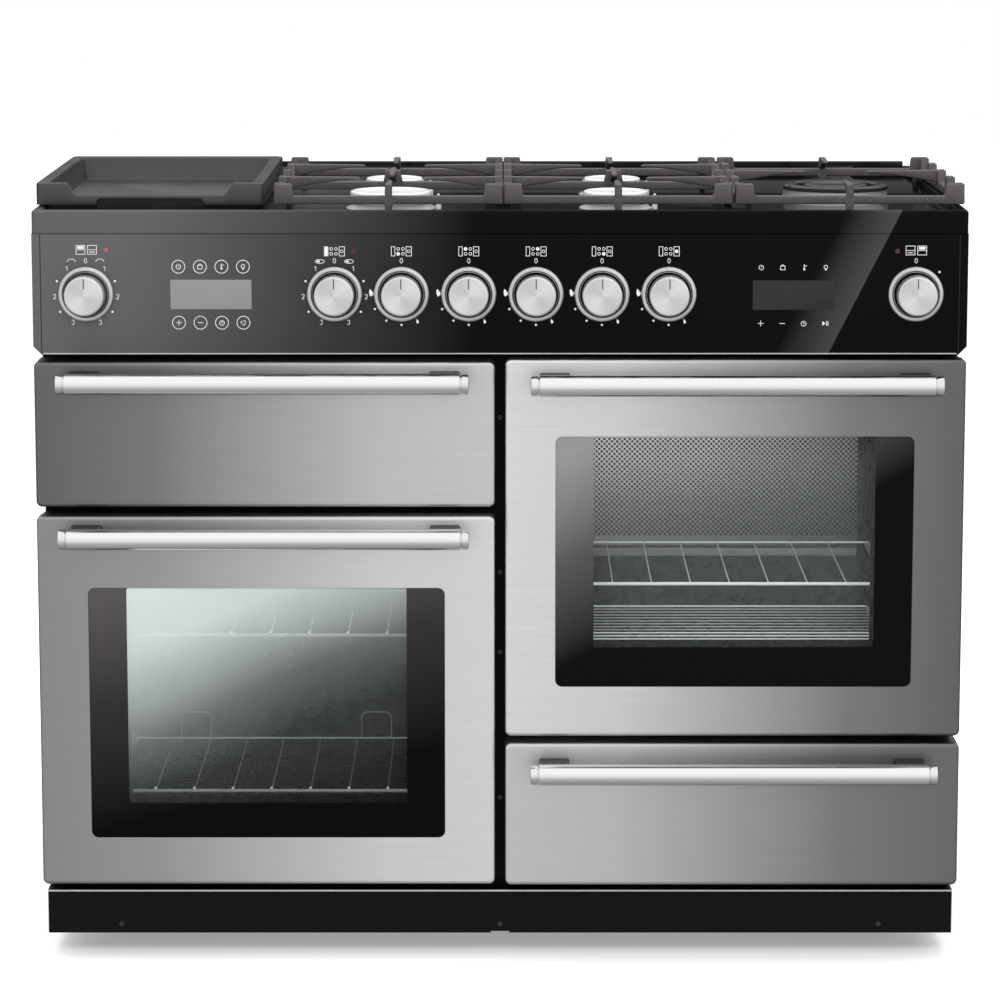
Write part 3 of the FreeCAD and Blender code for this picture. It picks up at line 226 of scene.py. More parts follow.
def turned(profile: Pairs, centre: Point, axis: Axis,
           direction: float = 1.0, steps: int = 64) -> Surface:
    """Turn a profile of radius and height about an axis.

    Point (i, j) is centre + radius_i * (cos a_j, sin a_j) + direction * height_i along the axis.
    UVs are the angle as a share of a turn, and the radius in metres times ten.

    Args:
        profile: radius and height pairs; flat ends are filled.
        centre: the point that heights are counted from.
        axis: the axis of turning.
        direction: +1 or -1, the way that heights grow along the axis.
        steps: points round the axis.

    Returns:
        A closed surface with UVs.
    """
    radii, heights = np.array(profile, dtype=float).T
    angle = np.linspace(0.0, 2 * math.pi, steps, endpoint=False)
    first = radii[:, None] * np.cos(angle)[None, :]
    second = radii[:, None] * np.sin(angle)[None, :]
    along = np.repeat(direction * heights[:, None], steps, axis=1)
    columns = [first, second]
    columns.insert(axis.value, along)
    rings = np.stack(columns, axis=-1) + np.array(centre)
    surface = loft(rings)
    share = np.repeat((angle / (2 * math.pi))[None, :], len(radii), axis=0)
    surface.uv = np.stack([share.ravel(), np.repeat(radii * 10.0, steps)], axis=1)
    return surface


def turned_ring(profile: Pairs, centre: Point, axis: Axis,
                direction: float = 1.0) -> Surface:
    """Return a profile turned into a ring: its last station joins its first, with no end caps."""
    whole = turned([*profile, profile[0]], centre, axis, direction)
    whole.faces = whole.faces[:-2]
    return whole


def pipe(path: np.ndarray, radius: float, around: int = 10) -> Surface:
    """Carry a circle along a path.

    Each ring stands square to the path's direction there, turned on from the ring before it.

    Args:
        path: an (n, 3) array of centres.
        radius: the pipe's radius.
        around: points in each ring.

    Returns:
        A closed surface.
    """
    tangents = np.gradient(path, axis=0)
    tangents /= np.linalg.norm(tangents, axis=1)[:, None]
    side = np.cross(tangents[0], [0.0, 0.0, 1.0])
    if np.linalg.norm(side) < 0.1:
        side = np.cross(tangents[0], [0.0, 1.0, 0.0])
    angle = np.linspace(0.0, 2 * math.pi, around, endpoint=False)
    rings = []
    for point, tangent in zip(path, tangents):
        side = side - tangent * np.dot(side, tangent)
        side /= np.linalg.norm(side)
        other = np.cross(tangent, side)
        rings.append(point + radius * (np.cos(angle)[:, None] * side
                                       + np.sin(angle)[:, None] * other))
    return loft(np.array(rings))


def rod(start: Sequence[float], end: Sequence[float], radius: float, around: int = 10) -> Surface:
    """Return a straight round rod from start to end."""
    return pipe(np.array([start, end], dtype=float), radius, around)


def cast_bar(start: np.ndarray, end: np.ndarray, top: Callable[[np.ndarray], np.ndarray],
             bottom: Callable[[np.ndarray], np.ndarray], half: Callable[[np.ndarray], np.ndarray],
             stations: int = 40, soft: float = 1.6 * MM) -> Surface:
    """Return a cast bar whose height and width change along it.

    The section at a share t of the way is a rounded rectangle between bottom(t) and top(t), of
    half width half(t); its corners have the soft radius.

    Args:
        start: X and Y of one end.
        end: X and Y of the other end.
        top: height of the top for an array of shares.
        bottom: height of the underside for an array of shares.
        half: half width for an array of shares.
        stations: sections along the bar.
        soft: the corners' radius.

    Returns:
        A closed surface.
    """
    share = np.linspace(0.0, 1.0, stations)
    run = end - start
    length = float(np.hypot(*run))
    across = np.array([-run[1], run[0]]) / length
    tops, bottoms, halves = top(share), bottom(share), half(share)
    ease = np.minimum(1.0, np.sqrt(np.minimum(share, 1 - share) * length / soft + 0.15))
    rings = []
    for t, high, low, wide, shrink in zip(share, tops, bottoms, halves, ease):
        lean = soft * (1 - shrink)
        outline = rounded_outline((-wide + lean, wide - lean), (low + lean, high - lean), soft, 3)
        flat = start + run * t
        ring = np.empty((len(outline), 3))
        ring[:, :2] = flat + outline[:, :1] * across
        ring[:, 2] = outline[:, 1]
        rings.append(ring)
    return loft(np.array(rings))


def mm(first: float, second: float) -> Span:
    """Return two lengths given in millimetres."""
    return first * MM, second * MM


def smooth_step(values: np.ndarray, low: float, high: float) -> np.ndarray:
    """Rise from 0 to 1 between low and high along 3t^2 - 2t^3."""
    share = np.clip((values - low) / (high - low), 0.0, 1.0)
    return share * share * (3 - 2 * share)


def cut_away(piece: bpy.types.Object, surface: Surface, sharp: float = 35.0) -> None:
    """Take a surface's volume out of a piece's mesh.

    Args:
        piece: the object that is cut.
        surface: closed shells that lie apart from each other.
        sharp: edges that turn by more degrees than this stay sharp.
    """
    mesh = bpy.data.meshes.new("cutter")
    mesh.from_pydata(surface.points.tolist(), [], surface.faces)
    cutter = bpy.data.objects.new("cutter", mesh)
    bpy.context.scene.collection.objects.link(cutter)
    modifier = piece.modifiers.new("cut", "BOOLEAN")
    modifier.operation, modifier.solver, modifier.object = "DIFFERENCE", "EXACT", cutter
    bpy.context.view_layer.update()
    evaluated = piece.evaluated_get(bpy.context.evaluated_depsgraph_get())
    result = bpy.data.meshes.new_from_object(evaluated)
    piece.modifiers.remove(modifier)
    piece.data = result
    bpy.data.objects.remove(cutter)
    bpy.data.meshes.remove(mesh)
    result.set_sharp_from_angle(angle=math.radians(sharp))


# ------------------------------------------------------------------------------------ finishes


def greys(*stops: Pair) -> list[tuple[float, Colour]]:
    """Return a ramp's stops from places and grey tones."""
    return [(place, (tone, tone, tone)) for place, tone in stops]


class Tree:
    """A node tree with short ways to add what the finishes and the world share."""

    def __init__(self, tree: bpy.types.NodeTree) -> None:
        """Take up a tree."""
        self.tree = tree

    def add(self, kind: str, **values: object) -> bpy.types.Node:
        """Add a node.

        Args:
            kind: the node's type without its ShaderNode prefix.
            values: attributes, or input values where the name is an input's, with _ for a space.

        Returns:
            The node.
        """
        node = self.tree.nodes.new("ShaderNode" + kind)
        for key, value in values.items():
            if hasattr(node, key):
                setattr(node, key, value)
            else:
                node.inputs[key.replace("_", " ")].default_value = value
        return node

    def link(self, output: Socket, entry: Socket) -> None:
        """Join an output to an input."""
        self.tree.links.new(output, entry)

    def place(self, scale: Sequence[float], source: str = "Object") -> Socket:
        """Return scaled coordinates from the piece's Object or UV coordinates."""
        coordinates = self.add("TexCoord")
        mapping = self.add("Mapping")
        mapping.inputs["Scale"].default_value = scale
        self.link(coordinates.outputs[source], mapping.inputs["Vector"])
        return mapping.outputs["Vector"]

    def parts(self, vector: Socket) -> dict[str, Socket]:
        """Return a vector's X, Y and Z."""
        node = self.add("SeparateXYZ")
        self.link(vector, node.inputs["Vector"])
        return node.outputs

    def axes(self, scale: Sequence[float] = (1.0, 1.0, 1.0),
             source: str = "Object") -> dict[str, Socket]:
        """Return the X, Y and Z of scaled coordinates."""
        return self.parts(self.place(scale, source))

    def math(self, operation: str, first: Socket,
             second: Socket | float | None = None,
             kind: str = "Math") -> Socket:
        """Return the result of an operation.

        Args:
            operation: its name.
            first: its first input.
            second: its second input, a plain value or a socket.
            kind: Math for numbers and VectorMath for vectors.

        Returns:
            The first output that the operation uses.
        """
        node = self.add(kind, operation=operation)
        self.link(first, node.inputs[0])
        if isinstance(second, Socket):
            self.link(second, node.inputs[1])
        elif second is not None:
            node.inputs[1].default_value = second
        return [output for output in node.outputs if output.enabled][0]

    def noise(self, scale: Sequence[float] | float, detail: float = 3.0, source: str = "Object",
              rough: float = 0.5) -> Socket:
        """Return a noise value with this many cells a metre, on all axes or on each."""
        node = self.add("TexNoise", Scale=1.0, Detail=detail, Roughness=rough)
        cells = (scale,) * 3 if isinstance(scale, float) else scale
        self.link(self.place(cells, source), node.inputs["Vector"])
        return node.outputs["Fac"]

    def ramp(self, entry: Socket,
             stops: Sequence[tuple[float, Colour]]) -> Socket:
        """Colour a value by stops of place and colour."""
        node = self.add("ValToRGB")
        elements = node.color_ramp.elements
        while len(elements) < len(stops):
            elements.new(0.5)
        for element, (position, colour) in zip(elements, stops):
            element.position = position
            element.color = (*colour, 1.0)
        self.link(entry, node.inputs["Fac"])
        return node.outputs["Color"]

    def spread(self, entry: Socket, low: float, high: float, start: float = 0.0,
               end: float = 1.0) -> Socket:
        """Map a value from start..end to low..high, held inside them."""
        node = self.add("MapRange", clamp=True)
        for key, value in (("From Min", start), ("From Max", end), ("To Min", low), ("To Max", high)):
            node.inputs[key].default_value = value
        self.link(entry, node.inputs["Value"])
        return node.outputs["Result"]

    def blend(self, first: Socket, second: Socket,
              kind: str = "MULTIPLY", share: Socket | None = None) -> Socket:
        """Blend two colours.

        Args:
            first: the colour where the share is 0.
            second: the colour that is blended in.
            kind: the way of blending.
            share: how much of it is blended in; None for all.

        Returns:
            The blended colour.
        """
        node = self.add("Mix", data_type="RGBA", blend_type=kind)
        if share is None:
            node.inputs["Factor"].default_value = 1.0
        else:
            self.link(share, node.inputs["Factor"])
        colours = [entry for entry in node.inputs if entry.type == "RGBA"]
        self.link(first, colours[0])
        self.link(second, colours[1])
        return [output for output in node.outputs if output.type == "RGBA"][0]


class Nodes(Tree):
    """A material's node tree, with ways to set its shader."""

    def __init__(self, name: str) -> None:
        """Start a material that holds only its shader and output."""
        self.material = bpy.data.materials.new(name)
        self.material.use_nodes = True
        super().__init__(self.material.node_tree)
        self.shader = self.tree.nodes["Principled BSDF"]

    def bump(self, height: Socket, strength: float, distance: float) -> None:
        """Raise the shader's normal by a height."""
        node = self.add("Bump", Strength=strength, Distance=distance)
        self.link(height, node.inputs["Height"])
        self.feed("Normal", node.outputs["Normal"])

    def feed(self, entry: str, output: Socket) -> None:
        """Link an output to one of the shader's inputs."""
        self.link(output, self.shader.inputs[entry])

    def vary_roughness(self, entry: Socket, low: float, high: float) -> None:
        """Let the roughness follow a noise from low to high."""
        self.feed("Roughness", self.spread(entry, low, high, 0.3, 0.7))

    def set(self, **values: object) -> None:
        """Set plain values of the shader, with _ for a space in a name."""
        for key, value in values.items():
            self.shader.inputs[key.replace("_", " ")].default_value = value


@dataclass(frozen=True)
class Paint:
    """A coated or moulded surface: one colour with a slight grain in tone, gloss and height.

    Attributes:
        name: the finish's name.
        colour: the middle of its colours.
        roughness: the middle of its roughness.
        spread: the share by which the colour varies.
        grain: repeats of the grain in a metre.
        relief: height of the grain in metres.
        metallic: 1 for bare metal.
        coat: weight of a clear coat.
        gloss: the shader's specular level.
    """

    name: str
    colour: Colour
    roughness: float = 0.5
    spread: float = 0.15
    grain: float = 400.0
    relief: float = 0.00005
    metallic: float = 0.0
    coat: float = 0.0
    gloss: float = 0.5

    def material(self) -> Material:
        """Build the material."""
        nodes = Nodes(self.name)
        fine = nodes.noise(float(self.grain))
        dark = tuple(part * (1 - self.spread) for part in self.colour)
        pale = tuple(min(part * (1 + self.spread), 1.0) for part in self.colour)
        nodes.feed("Base Color", nodes.ramp(fine, [(0.3, dark), (0.7, pale)]))
        broad = nodes.noise(7.0)
        nodes.vary_roughness(broad, self.roughness * 0.88, min(self.roughness * 1.12, 1.0))
        nodes.bump(fine, 0.6, self.relief)
        nodes.set(Metallic=self.metallic, Coat_Weight=self.coat, Coat_Roughness=0.05,
                  Specular_IOR_Level=self.gloss)
        return nodes.material


@dataclass(frozen=True)
class BrushedSteel:
    """Stainless sheet brushed from side to side, with a painted reflection that is brightest beside the
    cooker's middle.

    Attributes:
        name: the finish's name.
        bright: the painted reflection's tone beside the mullion.
        dim: the painted reflection's tone at the outer sides.
        half: half of the cooker's width.
        reflection_falloff: places between middle and side, and the share of the bright painted
            reflection left there.
    """

    name: str
    bright: float
    dim: float
    half: float = 0.546
    reflection_falloff: tuple[Pair, ...] = ((0.0, 1.0), (0.25, 0.88), (0.5, 0.50), (0.75, 0.14),
                                                (1.0, 0.0))

    def material(self) -> Material:
        """Build the material: long streaks along X over a painted reflection tone that falls off to
        both sides.
        """
        nodes = Nodes(self.name)
        streaks = nodes.noise((9.0, 60.0, 1300.0), 4.0, rough=0.7)
        off = nodes.math("ABSOLUTE", nodes.axes()["X"])
        stops = []
        for place, share in self.reflection_falloff:
            tone = self.dim + (self.bright - self.dim) * share
            stops.append((place, (tone, tone, tone * 1.005)))
        # painted reflection: the tone is brightest beside the mullion and darker towards both sides
        tone = nodes.ramp(nodes.spread(off, 0.0, 1.0, 0.0, self.half), stops)
        fine = nodes.ramp(streaks, greys((0.25, 0.86), (0.75, 1.0)))
        nodes.feed("Base Color", nodes.blend(tone, fine))
        nodes.vary_roughness(streaks, 0.34, 0.42)
        nodes.bump(streaks, 0.22, 0.00004)
        nodes.set(Metallic=1.0)
        return nodes.material


@dataclass(frozen=True)
class SpunMetal:
    """Metal turned on a lathe: fine rings, read from a turned piece's UVs, under painted highlight and
    shade wedges.

    Attributes:
        name: the finish's name.
        colour: its colour.
        roughness: its roughness.
        rings: how strong the rings are.
    """

    name: str
    colour: Colour
    roughness: float = 0.25
    rings: float = 0.4

    def material(self) -> Material:
        """Build the material; two painted highlight wedges and two painted shade wedges run out from
        the centre.
        """
        nodes = Nodes(self.name)
        grooves = nodes.noise((3.0, 900.0, 1.0), 3.0, "UV")
        angle = nodes.math("MULTIPLY", nodes.axes(source="UV")["X"], 4 * math.pi)
        wave = nodes.math("SINE", angle)
        # painted highlight and painted shade, by angle round the centre
        dim = tuple(part * 0.80 for part in self.colour)
        highlight_wedges = nodes.ramp(nodes.spread(wave, 0.0, 1.0, -1.0, 1.0),
                            [(0.0, dim), (1.0, self.colour)])
        fine = nodes.ramp(grooves, greys((0.3, 0.86), (0.7, 1.0)))
        nodes.feed("Base Color", nodes.blend(highlight_wedges, fine))
        nodes.bump(grooves, self.rings, 0.00004)
        nodes.set(Metallic=1.0, Roughness=self.roughness)
        return nodes.material


@dataclass(frozen=True)
class CastIron:
    """Matt enamelled cast iron with a fine sandy face and paler worn patches.

    Attributes:
        name: the finish's name.
        dark: colour of the low grains.
        pale: colour of the high grains.
        roughness: its roughness.
    """

    name: str
    dark: Colour
    pale: Colour
    roughness: float = 0.55

    def material(self) -> Material:
        """Build the material."""
        nodes = Nodes(self.name)
        sand = nodes.noise(900.0, 4.0, rough=0.7)
        patches = nodes.noise(22.0, 4.0)
        grains = nodes.ramp(sand, [(0.35, self.dark), (0.68, self.pale)])
        wear = nodes.ramp(patches, [(0.3, (0.80, 0.80, 0.80)), (0.7, (1.0, 0.985, 0.97))])
        nodes.feed("Base Color", nodes.blend(grains, wear))
        nodes.vary_roughness(patches, self.roughness * 0.8, self.roughness * 1.2)
        nodes.bump(sand, 0.5, 0.00025)
        nodes.set(Specular_IOR_Level=0.6)
        return nodes.material


@dataclass(frozen=True)
class SpeckledEnamel:
    """Oven enamel: dark grey with fine pale specks.

    Attributes:
        name: the finish's name.
        colour: the ground's colour.
        speck: the specks' colour.
    """

    name: str
    colour: Colour = (0.07, 0.075, 0.08)
    speck: Colour = (0.30, 0.31, 0.32)

    def material(self) -> Material:
        """Build the material."""
        nodes = Nodes(self.name)
        cells = nodes.add("TexVoronoi", feature="F1", Scale=1.0)
        nodes.link(nodes.place((420.0, 420.0, 420.0)), cells.inputs["Vector"])
        nodes.feed("Base Color", nodes.ramp(cells.outputs["Distance"],
                                            [(0.12, self.speck), (0.2, self.colour)]))
        soft = nodes.noise(60.0)
        nodes.vary_roughness(soft, 0.22, 0.34)
        nodes.bump(soft, 0.3, 0.0001)
        return nodes.material


@dataclass(frozen=True)
class WindowGlass:
    """A tinted pane with a painted reflection, pale in its upper left corner, that fades to clear
    black.

    Attributes:
        name: the finish's name.
        low: lowest corner of the clear part, X and Z.
        high: highest corner of the clear part, X and Z.
        painted_reflection: colour of the painted reflection.
        thickest: how opaque the painted reflection is in the corner.
        tint: how opaque the clear glass is.
        reflection_fade: shares of the way to the far corner, and the share of the painted reflection
            left there.
    """

    name: str
    low: Pair
    high: Pair
    painted_reflection: Colour = (0.65, 0.724, 0.683)
    thickest: float = 0.72
    tint: float = 0.35
    reflection_fade: tuple[Pair, ...] = ((0.0, 0.90), (0.2, 0.82), (0.38, 0.46), (0.48, 0.21),
                                             (0.63, 0.05), (0.85, 0.01), (1.0, 0.0))

    def material(self) -> Material:
        """Build the material: the way is (across + 1.86 * down) / 2.86, from the upper left."""
        nodes = Nodes(self.name)
        axes = nodes.axes()
        across = nodes.spread(axes["X"], 0.0, 0.35, self.low[0], self.high[0])
        down = nodes.spread(axes["Z"], 0.65, 0.0, self.low[1], self.high[1])
        reflection_wobble = nodes.spread(nodes.noise((3.0, 3.0, 5.0), 2.0), -0.03, 0.03, 0.3, 0.7)
        way = nodes.math("ADD", nodes.math("ADD", across, down), reflection_wobble)
        # painted reflection: pale in the upper left corner, fading along the way
        stops = [(place, tuple(part * share + 0.001 for part in self.painted_reflection))
                 for place, share in self.reflection_fade]
        nodes.feed("Base Color", nodes.ramp(way, stops))
        nodes.feed("Alpha", nodes.spread(way, self.thickest, self.tint, 0.0, 0.6))
        nodes.set(Roughness=0.03, Specular_IOR_Level=0.06)
        return nodes.material


@dataclass(frozen=True)
class GradedGloss:
    """Black glass or lacquer with a painted reflection that makes it a little paler towards one side or
    corner.

    The place is along[0] * X + along[1] * Z; the painted reflection goes from pale at start to black at
    end.

    Attributes:
        name: the finish's name.
        start: the place where the painted reflection is palest.
        end: the place where it has faded to black.
        pale: colour of the painted reflection at the start.
        along: weights of X and Z.
        middle: share of the pale colour that is left halfway.
        roughness: its roughness.
        black: colour at the end.
        slant: how far the painted reflection wedge's edge leans to the right over one metre of height.
        reflection_wedge: where that edge would meet the floor; None leaves it out.
        reflection_wedge_wide: how far the painted reflection wedge reaches to the left.
        reflection_wedge_pale: the painted reflection wedge's colour beside its edge.
        shine: heights between which its gloss rises to that of a polished edge.
    """

    name: str
    start: float
    end: float
    pale: Colour
    along: Pair = (1.0, 0.0)
    middle: float = 0.5
    roughness: float = 0.06
    black: Colour = (0.0022, 0.0021, 0.0022)
    slant: float = 0.5006
    reflection_wedge: float | None = None
    reflection_wedge_wide: float = 0.065
    reflection_wedge_pale: Colour = (0.042, 0.041, 0.042)
    shine: Pair | None = None

    def material(self) -> Material:
        """Build the material."""
        nodes = Nodes(self.name)
        axes = nodes.axes((self.along[0], 1.0, self.along[1]))
        place = nodes.math("ADD", axes["X"], axes["Z"])
        share = nodes.spread(place, 0.0, 1.0, self.start, self.end)
        middle = tuple(one * self.middle + two * (1 - self.middle)
                       for one, two in zip(self.pale, self.black))
        # painted reflection: pale at start, fading to black at end
        tone = nodes.ramp(share, [(0.0, self.pale), (0.5, middle), (1.0, self.black)])
        if self.reflection_wedge is not None:
            tone = self.with_reflection_wedge(nodes, tone)
        dust = nodes.noise(1400.0, 2.0)
        specks = nodes.ramp(dust, greys((0.3, 0.88), (0.75, 1.0)))
        nodes.feed("Base Color", nodes.blend(tone, specks))
        soft = nodes.noise(9.0)
        nodes.vary_roughness(soft, self.roughness * 0.7, self.roughness * 1.3)
        nodes.set(Specular_IOR_Level=0.06)
        if self.shine is not None:
            level = nodes.spread(axes["Z"], 0.06, 1.0, *self.shine)
            nodes.feed("Specular IOR Level", level)
        return nodes.material

    def with_reflection_wedge(self, nodes: Nodes, tone: Socket) -> Socket:
        """Add the painted reflection wedge, which ends at x = slant * z + reflection_wedge and fades to
        the left.

        Args:
            nodes: the material's nodes.
            tone: the colour without the painted reflection wedge.

        Returns:
            The colour with it.
        """
        axes = nodes.axes((1.0, 1.0, -self.slant))
        lean = nodes.math("ADD", axes["X"], axes["Z"])
        share = nodes.spread(lean, 0.0, 1.0, self.reflection_wedge - self.reflection_wedge_wide, self.reflection_wedge)
        none = (0.0, 0.0, 0.0)
        # painted reflection wedge, palest beside its edge
        reflection_beam = nodes.ramp(share, [(0.0, none), (0.97, self.reflection_wedge_pale), (0.99, none)])
        return nodes.blend(tone, reflection_beam, "ADD")


@dataclass(frozen=True)
class PerforatedEnamel:
    """Enamelled sheet with staggered round holes, shown as dark spots on the right oven's baffle, under
    painted lamp light and shade and with a glow of its own.

    Attributes:
        name: the finish's name.
        sheet: the sheet's colour.
        hole: colour of the holes.
        pitch: distance between two rows of one lattice.
        left: X of the holes' left end.
        right: X where the painted shade has darkened the sheet.
        low: Z of the lowest holes.
        high: Z above which the painted lamp light makes the sheet palest.
        lamp: strength of the sheet's own glow, painted in place of the oven lamp's light on it.
    """

    name: str
    sheet: Colour = (0.80, 0.80, 0.81)
    hole: Colour = (0.01, 0.01, 0.01)
    pitch: float = 0.0066
    left: float = 0.05
    right: float = 0.50
    low: float = 0.436
    high: float = 0.58
    lamp: float = 0.75

    def material(self) -> Material:
        """Build the material: two square lattices, the second half a pitch on both ways, under painted
        light and shade.
        """
        nodes = Nodes(self.name)
        near = []
        for shift in (0.0, 0.5):
            place = nodes.place((1 / self.pitch, 0.0, 1 / self.pitch))
            moved = nodes.math("ADD", place, (shift, 0.0, shift), "VectorMath")
            cell = nodes.math("FRACTION", moved, kind="VectorMath")
            off = nodes.math("SUBTRACT", cell, (0.5, 0.0, 0.5), "VectorMath")
            near.append(nodes.math("LENGTH", off, kind="VectorMath"))
        nearest = nodes.math("MINIMUM", *near)
        axes = nodes.axes()
        edge = 0.001
        solid = nodes.math("ADD", nodes.spread(axes["X"], 1.0, 0.0, self.left, self.left + edge),
                           nodes.spread(axes["Z"], 1.0, 0.0, self.low, self.low + edge))
        holes = nodes.ramp(nodes.math("ADD", nearest, solid), [(0.20, self.hole), (0.34, self.sheet)])
        # painted lamp light and shade: dark at the bottom, palest at the top, darker towards the right
        up = nodes.ramp(nodes.spread(axes["Z"], 0.0, 1.0, self.low - 0.02, self.high),
                        greys((0.0, 0.10), (0.4, 0.34), (1.0, 1.0)))
        side = nodes.ramp(nodes.spread(axes["X"], 0.0, 1.0, 0.11, self.right),
                          greys((0.0, 1.0), (0.4, 0.82), (1.0, 0.16)))
        tone = nodes.blend(nodes.blend(holes, up), side)
        nodes.feed("Base Color", tone)
        # the sheet glows with this painted light, though it is no lamp
        nodes.feed("Emission Color", tone)
        nodes.set(Roughness=0.5, Specular_IOR_Level=0.1, Emission_Strength=self.lamp)
        return nodes.material


@dataclass(frozen=True)
class Glow:
    """A lit or printed mark: its colour with a little light of its own.

    Attributes:
        name: the finish's name.
        colour: its colour.
        light: strength of its own light.
        roughness: its roughness.
    """

    name: str
    colour: Colour
    light: float = 0.0
    roughness: float = 0.4

    def material(self) -> Material:
        """Build the material."""
        nodes = Nodes(self.name)
        fine = nodes.noise(2500.0, 2.0)
        dark = tuple(part * 0.92 for part in self.colour)
        nodes.feed("Base Color", nodes.ramp(fine, [(0.3, dark), (0.7, self.colour)]))
        nodes.set(Emission_Color=(*self.colour, 1.0), Emission_Strength=self.light,
                  Roughness=self.roughness)
        return nodes.material


class Finishes:
    """Every material of the cooker, made once."""

    def __init__(self) -> None:
        """Build all materials."""
        # each steel carries a painted reflection, bright beside the mullion and dim at the outer side,
        # set front by front
        self.steel = BrushedSteel("brushed steel", 0.90, 0.30).material()
        self.fronts = {
            "grill_front": BrushedSteel("grill front steel", 0.80, 0.19).material(),
            "main_door": BrushedSteel("main door steel", 0.95, 0.38).material(),
            "second_door": BrushedSteel("second door steel", 0.98, 0.19).material(),
            "proving_front": BrushedSteel("drawer front steel", 0.78, 0.22).material(),
        }
        self.chrome = Paint("polished chrome", (0.85, 0.85, 0.85), 0.10, 0.03, 900.0, 0.000005,
                            1.0).material()
        self.satin = Paint("satin bar", (0.92, 0.925, 0.93), 0.20, 0.03, 1200.0, 0.000005,
                           1.0).material()
        self.bracket = Paint("dark bracket lacquer", (0.012, 0.011, 0.011), 0.35, 0.2, 700.0,
                             0.00002).material()
        # knob faces and bezels carry painted highlight and painted shade wedges
        self.spun = SpunMetal("spun knob face", (0.98, 0.98, 0.97), 0.30).material()
        self.bezel = SpunMetal("matt bezel", (0.86, 0.86, 0.85), 0.38, 0.6).material()
        # the fascia and the hob's rim carry a painted reflection: paler to the left, with a pale wedge
        # near the right
        self.fascia = GradedGloss("fascia glass", -0.45, -0.03, (0.088, 0.087, 0.091), middle=0.42,
                                  reflection_wedge=0.0163).material()
        self.rim = GradedGloss("hob enamel", -0.42, -0.03, (0.082, 0.081, 0.083), roughness=0.10,
                               reflection_wedge=0.0163, shine=(0.9005, 0.9035)).material()
        self.deck = Paint("gloss hob deck", (0.004, 0.004, 0.0045), 0.05, 0.3, 500.0, 0.000002
                          ).material()
        self.iron = CastIron("pan support iron", (0.030, 0.028, 0.0275),
                             (0.115, 0.107, 0.103)).material()
        self.griddle = CastIron("griddle coating", (0.016, 0.016, 0.018), (0.050, 0.050, 0.054),
                                0.34).material()
        # the four burner caps are black gloss; their pale grey is a painted reflection of the bright
        # backdrop
        self.cap = Paint("burner cap", (0.78, 0.78, 0.79), 0.25, 0.03, 600.0, 0.00001,
                         0.25).material()
        self.wok_cap = Paint("wok burner cap", (0.02, 0.02, 0.02), 0.22, 0.3, 600.0,
                             0.00002).material()
        self.burner = Paint("burner casting", (0.50, 0.50, 0.49), 0.42, 0.12, 800.0, 0.00005,
                            0.7).material()
        # printed white with a faint painted glow of its own; also on the igniter tips
        self.print = Glow("printed white", (0.62, 0.62, 0.62), 0.08).material()
        self.neon = Glow("red neon", (0.24, 0.07, 0.075), 0.10).material()
        self.dim_neon = Glow("unlit neon", (0.060, 0.010, 0.012), 0.0).material()
        self.display = Glow("display face", (0.170, 0.176, 0.172), 0.10, 0.12).material()
        self.dark_display = Glow("unlit display", (0.005, 0.005, 0.006), 0.0, 0.08).material()
        # the front wires glow with painted light for the oven lamp; the weld beads' white glow is a
        # painted highlight
        self.lit_wire = Glow("wire under the oven lamp", (0.60, 0.63, 0.60), 0.30).material()
        self.bead_highlight = Glow("weld bead", (0.95, 0.95, 0.92), 0.9).material()
        self.index = Paint("knob index line", (0.05, 0.05, 0.05), 0.5).material()
        self.seam = Paint("panel seam", (0.003, 0.003, 0.003), 0.6).material()
        self.enamel = SpeckledEnamel("oven enamel", (0.030, 0.032, 0.034),
                                     (0.13, 0.135, 0.14)).material()
        self.shelf = Paint("shelf chrome", (0.75, 0.76, 0.76), 0.34, 0.05, 900.0, 0.00001,
                           0.6).material()
        self.perforated = PerforatedEnamel("perforated baffle").material()
        # pale grey painted highlight for the fascia's lower lip and the plinth's upper edge; also given
        # to the perforated sheet's flange
        self.highlight_trim = Paint("bright edge", (0.40, 0.40, 0.40), 0.3, 0.05, 500.0, 0.00001).material()
        # the door glass borders carry a painted reflection, paler towards the upper left
        self.main_border = GradedGloss("main door glass border", 1.95, 0.93, (0.078, 0.073, 0.071),
                                       (-0.833, 3.3), 0.28, 0.05, (0.001, 0.001, 0.001)).material()
        self.second_border = GradedGloss("second door glass border", 2.276, 1.276,
                                         (0.215, 0.21, 0.215), (-2.326, 4.0), 0.30, 0.05).material()
        # the windows carry a painted reflection in their upper left corner
        self.main_window = WindowGlass("main door window", (-0.4415, 0.1956), (-0.1105, 0.457)
                                       ).material()
        self.second_window = WindowGlass("second door window", (0.1105, 0.3855), (0.4415, 0.638),
                                         (0.12, 0.12, 0.12), 0.10, 0.04).material()
        off_pane = ((-2.0, -2.0), (-1.9, -1.9))  # a clear part beside the pane leaves its painted reflection even
        self.inner_glass = WindowGlass("inner pane", *off_pane, thickest=0.1, tint=0.06).material()
        self.slots = self.node_finishes()

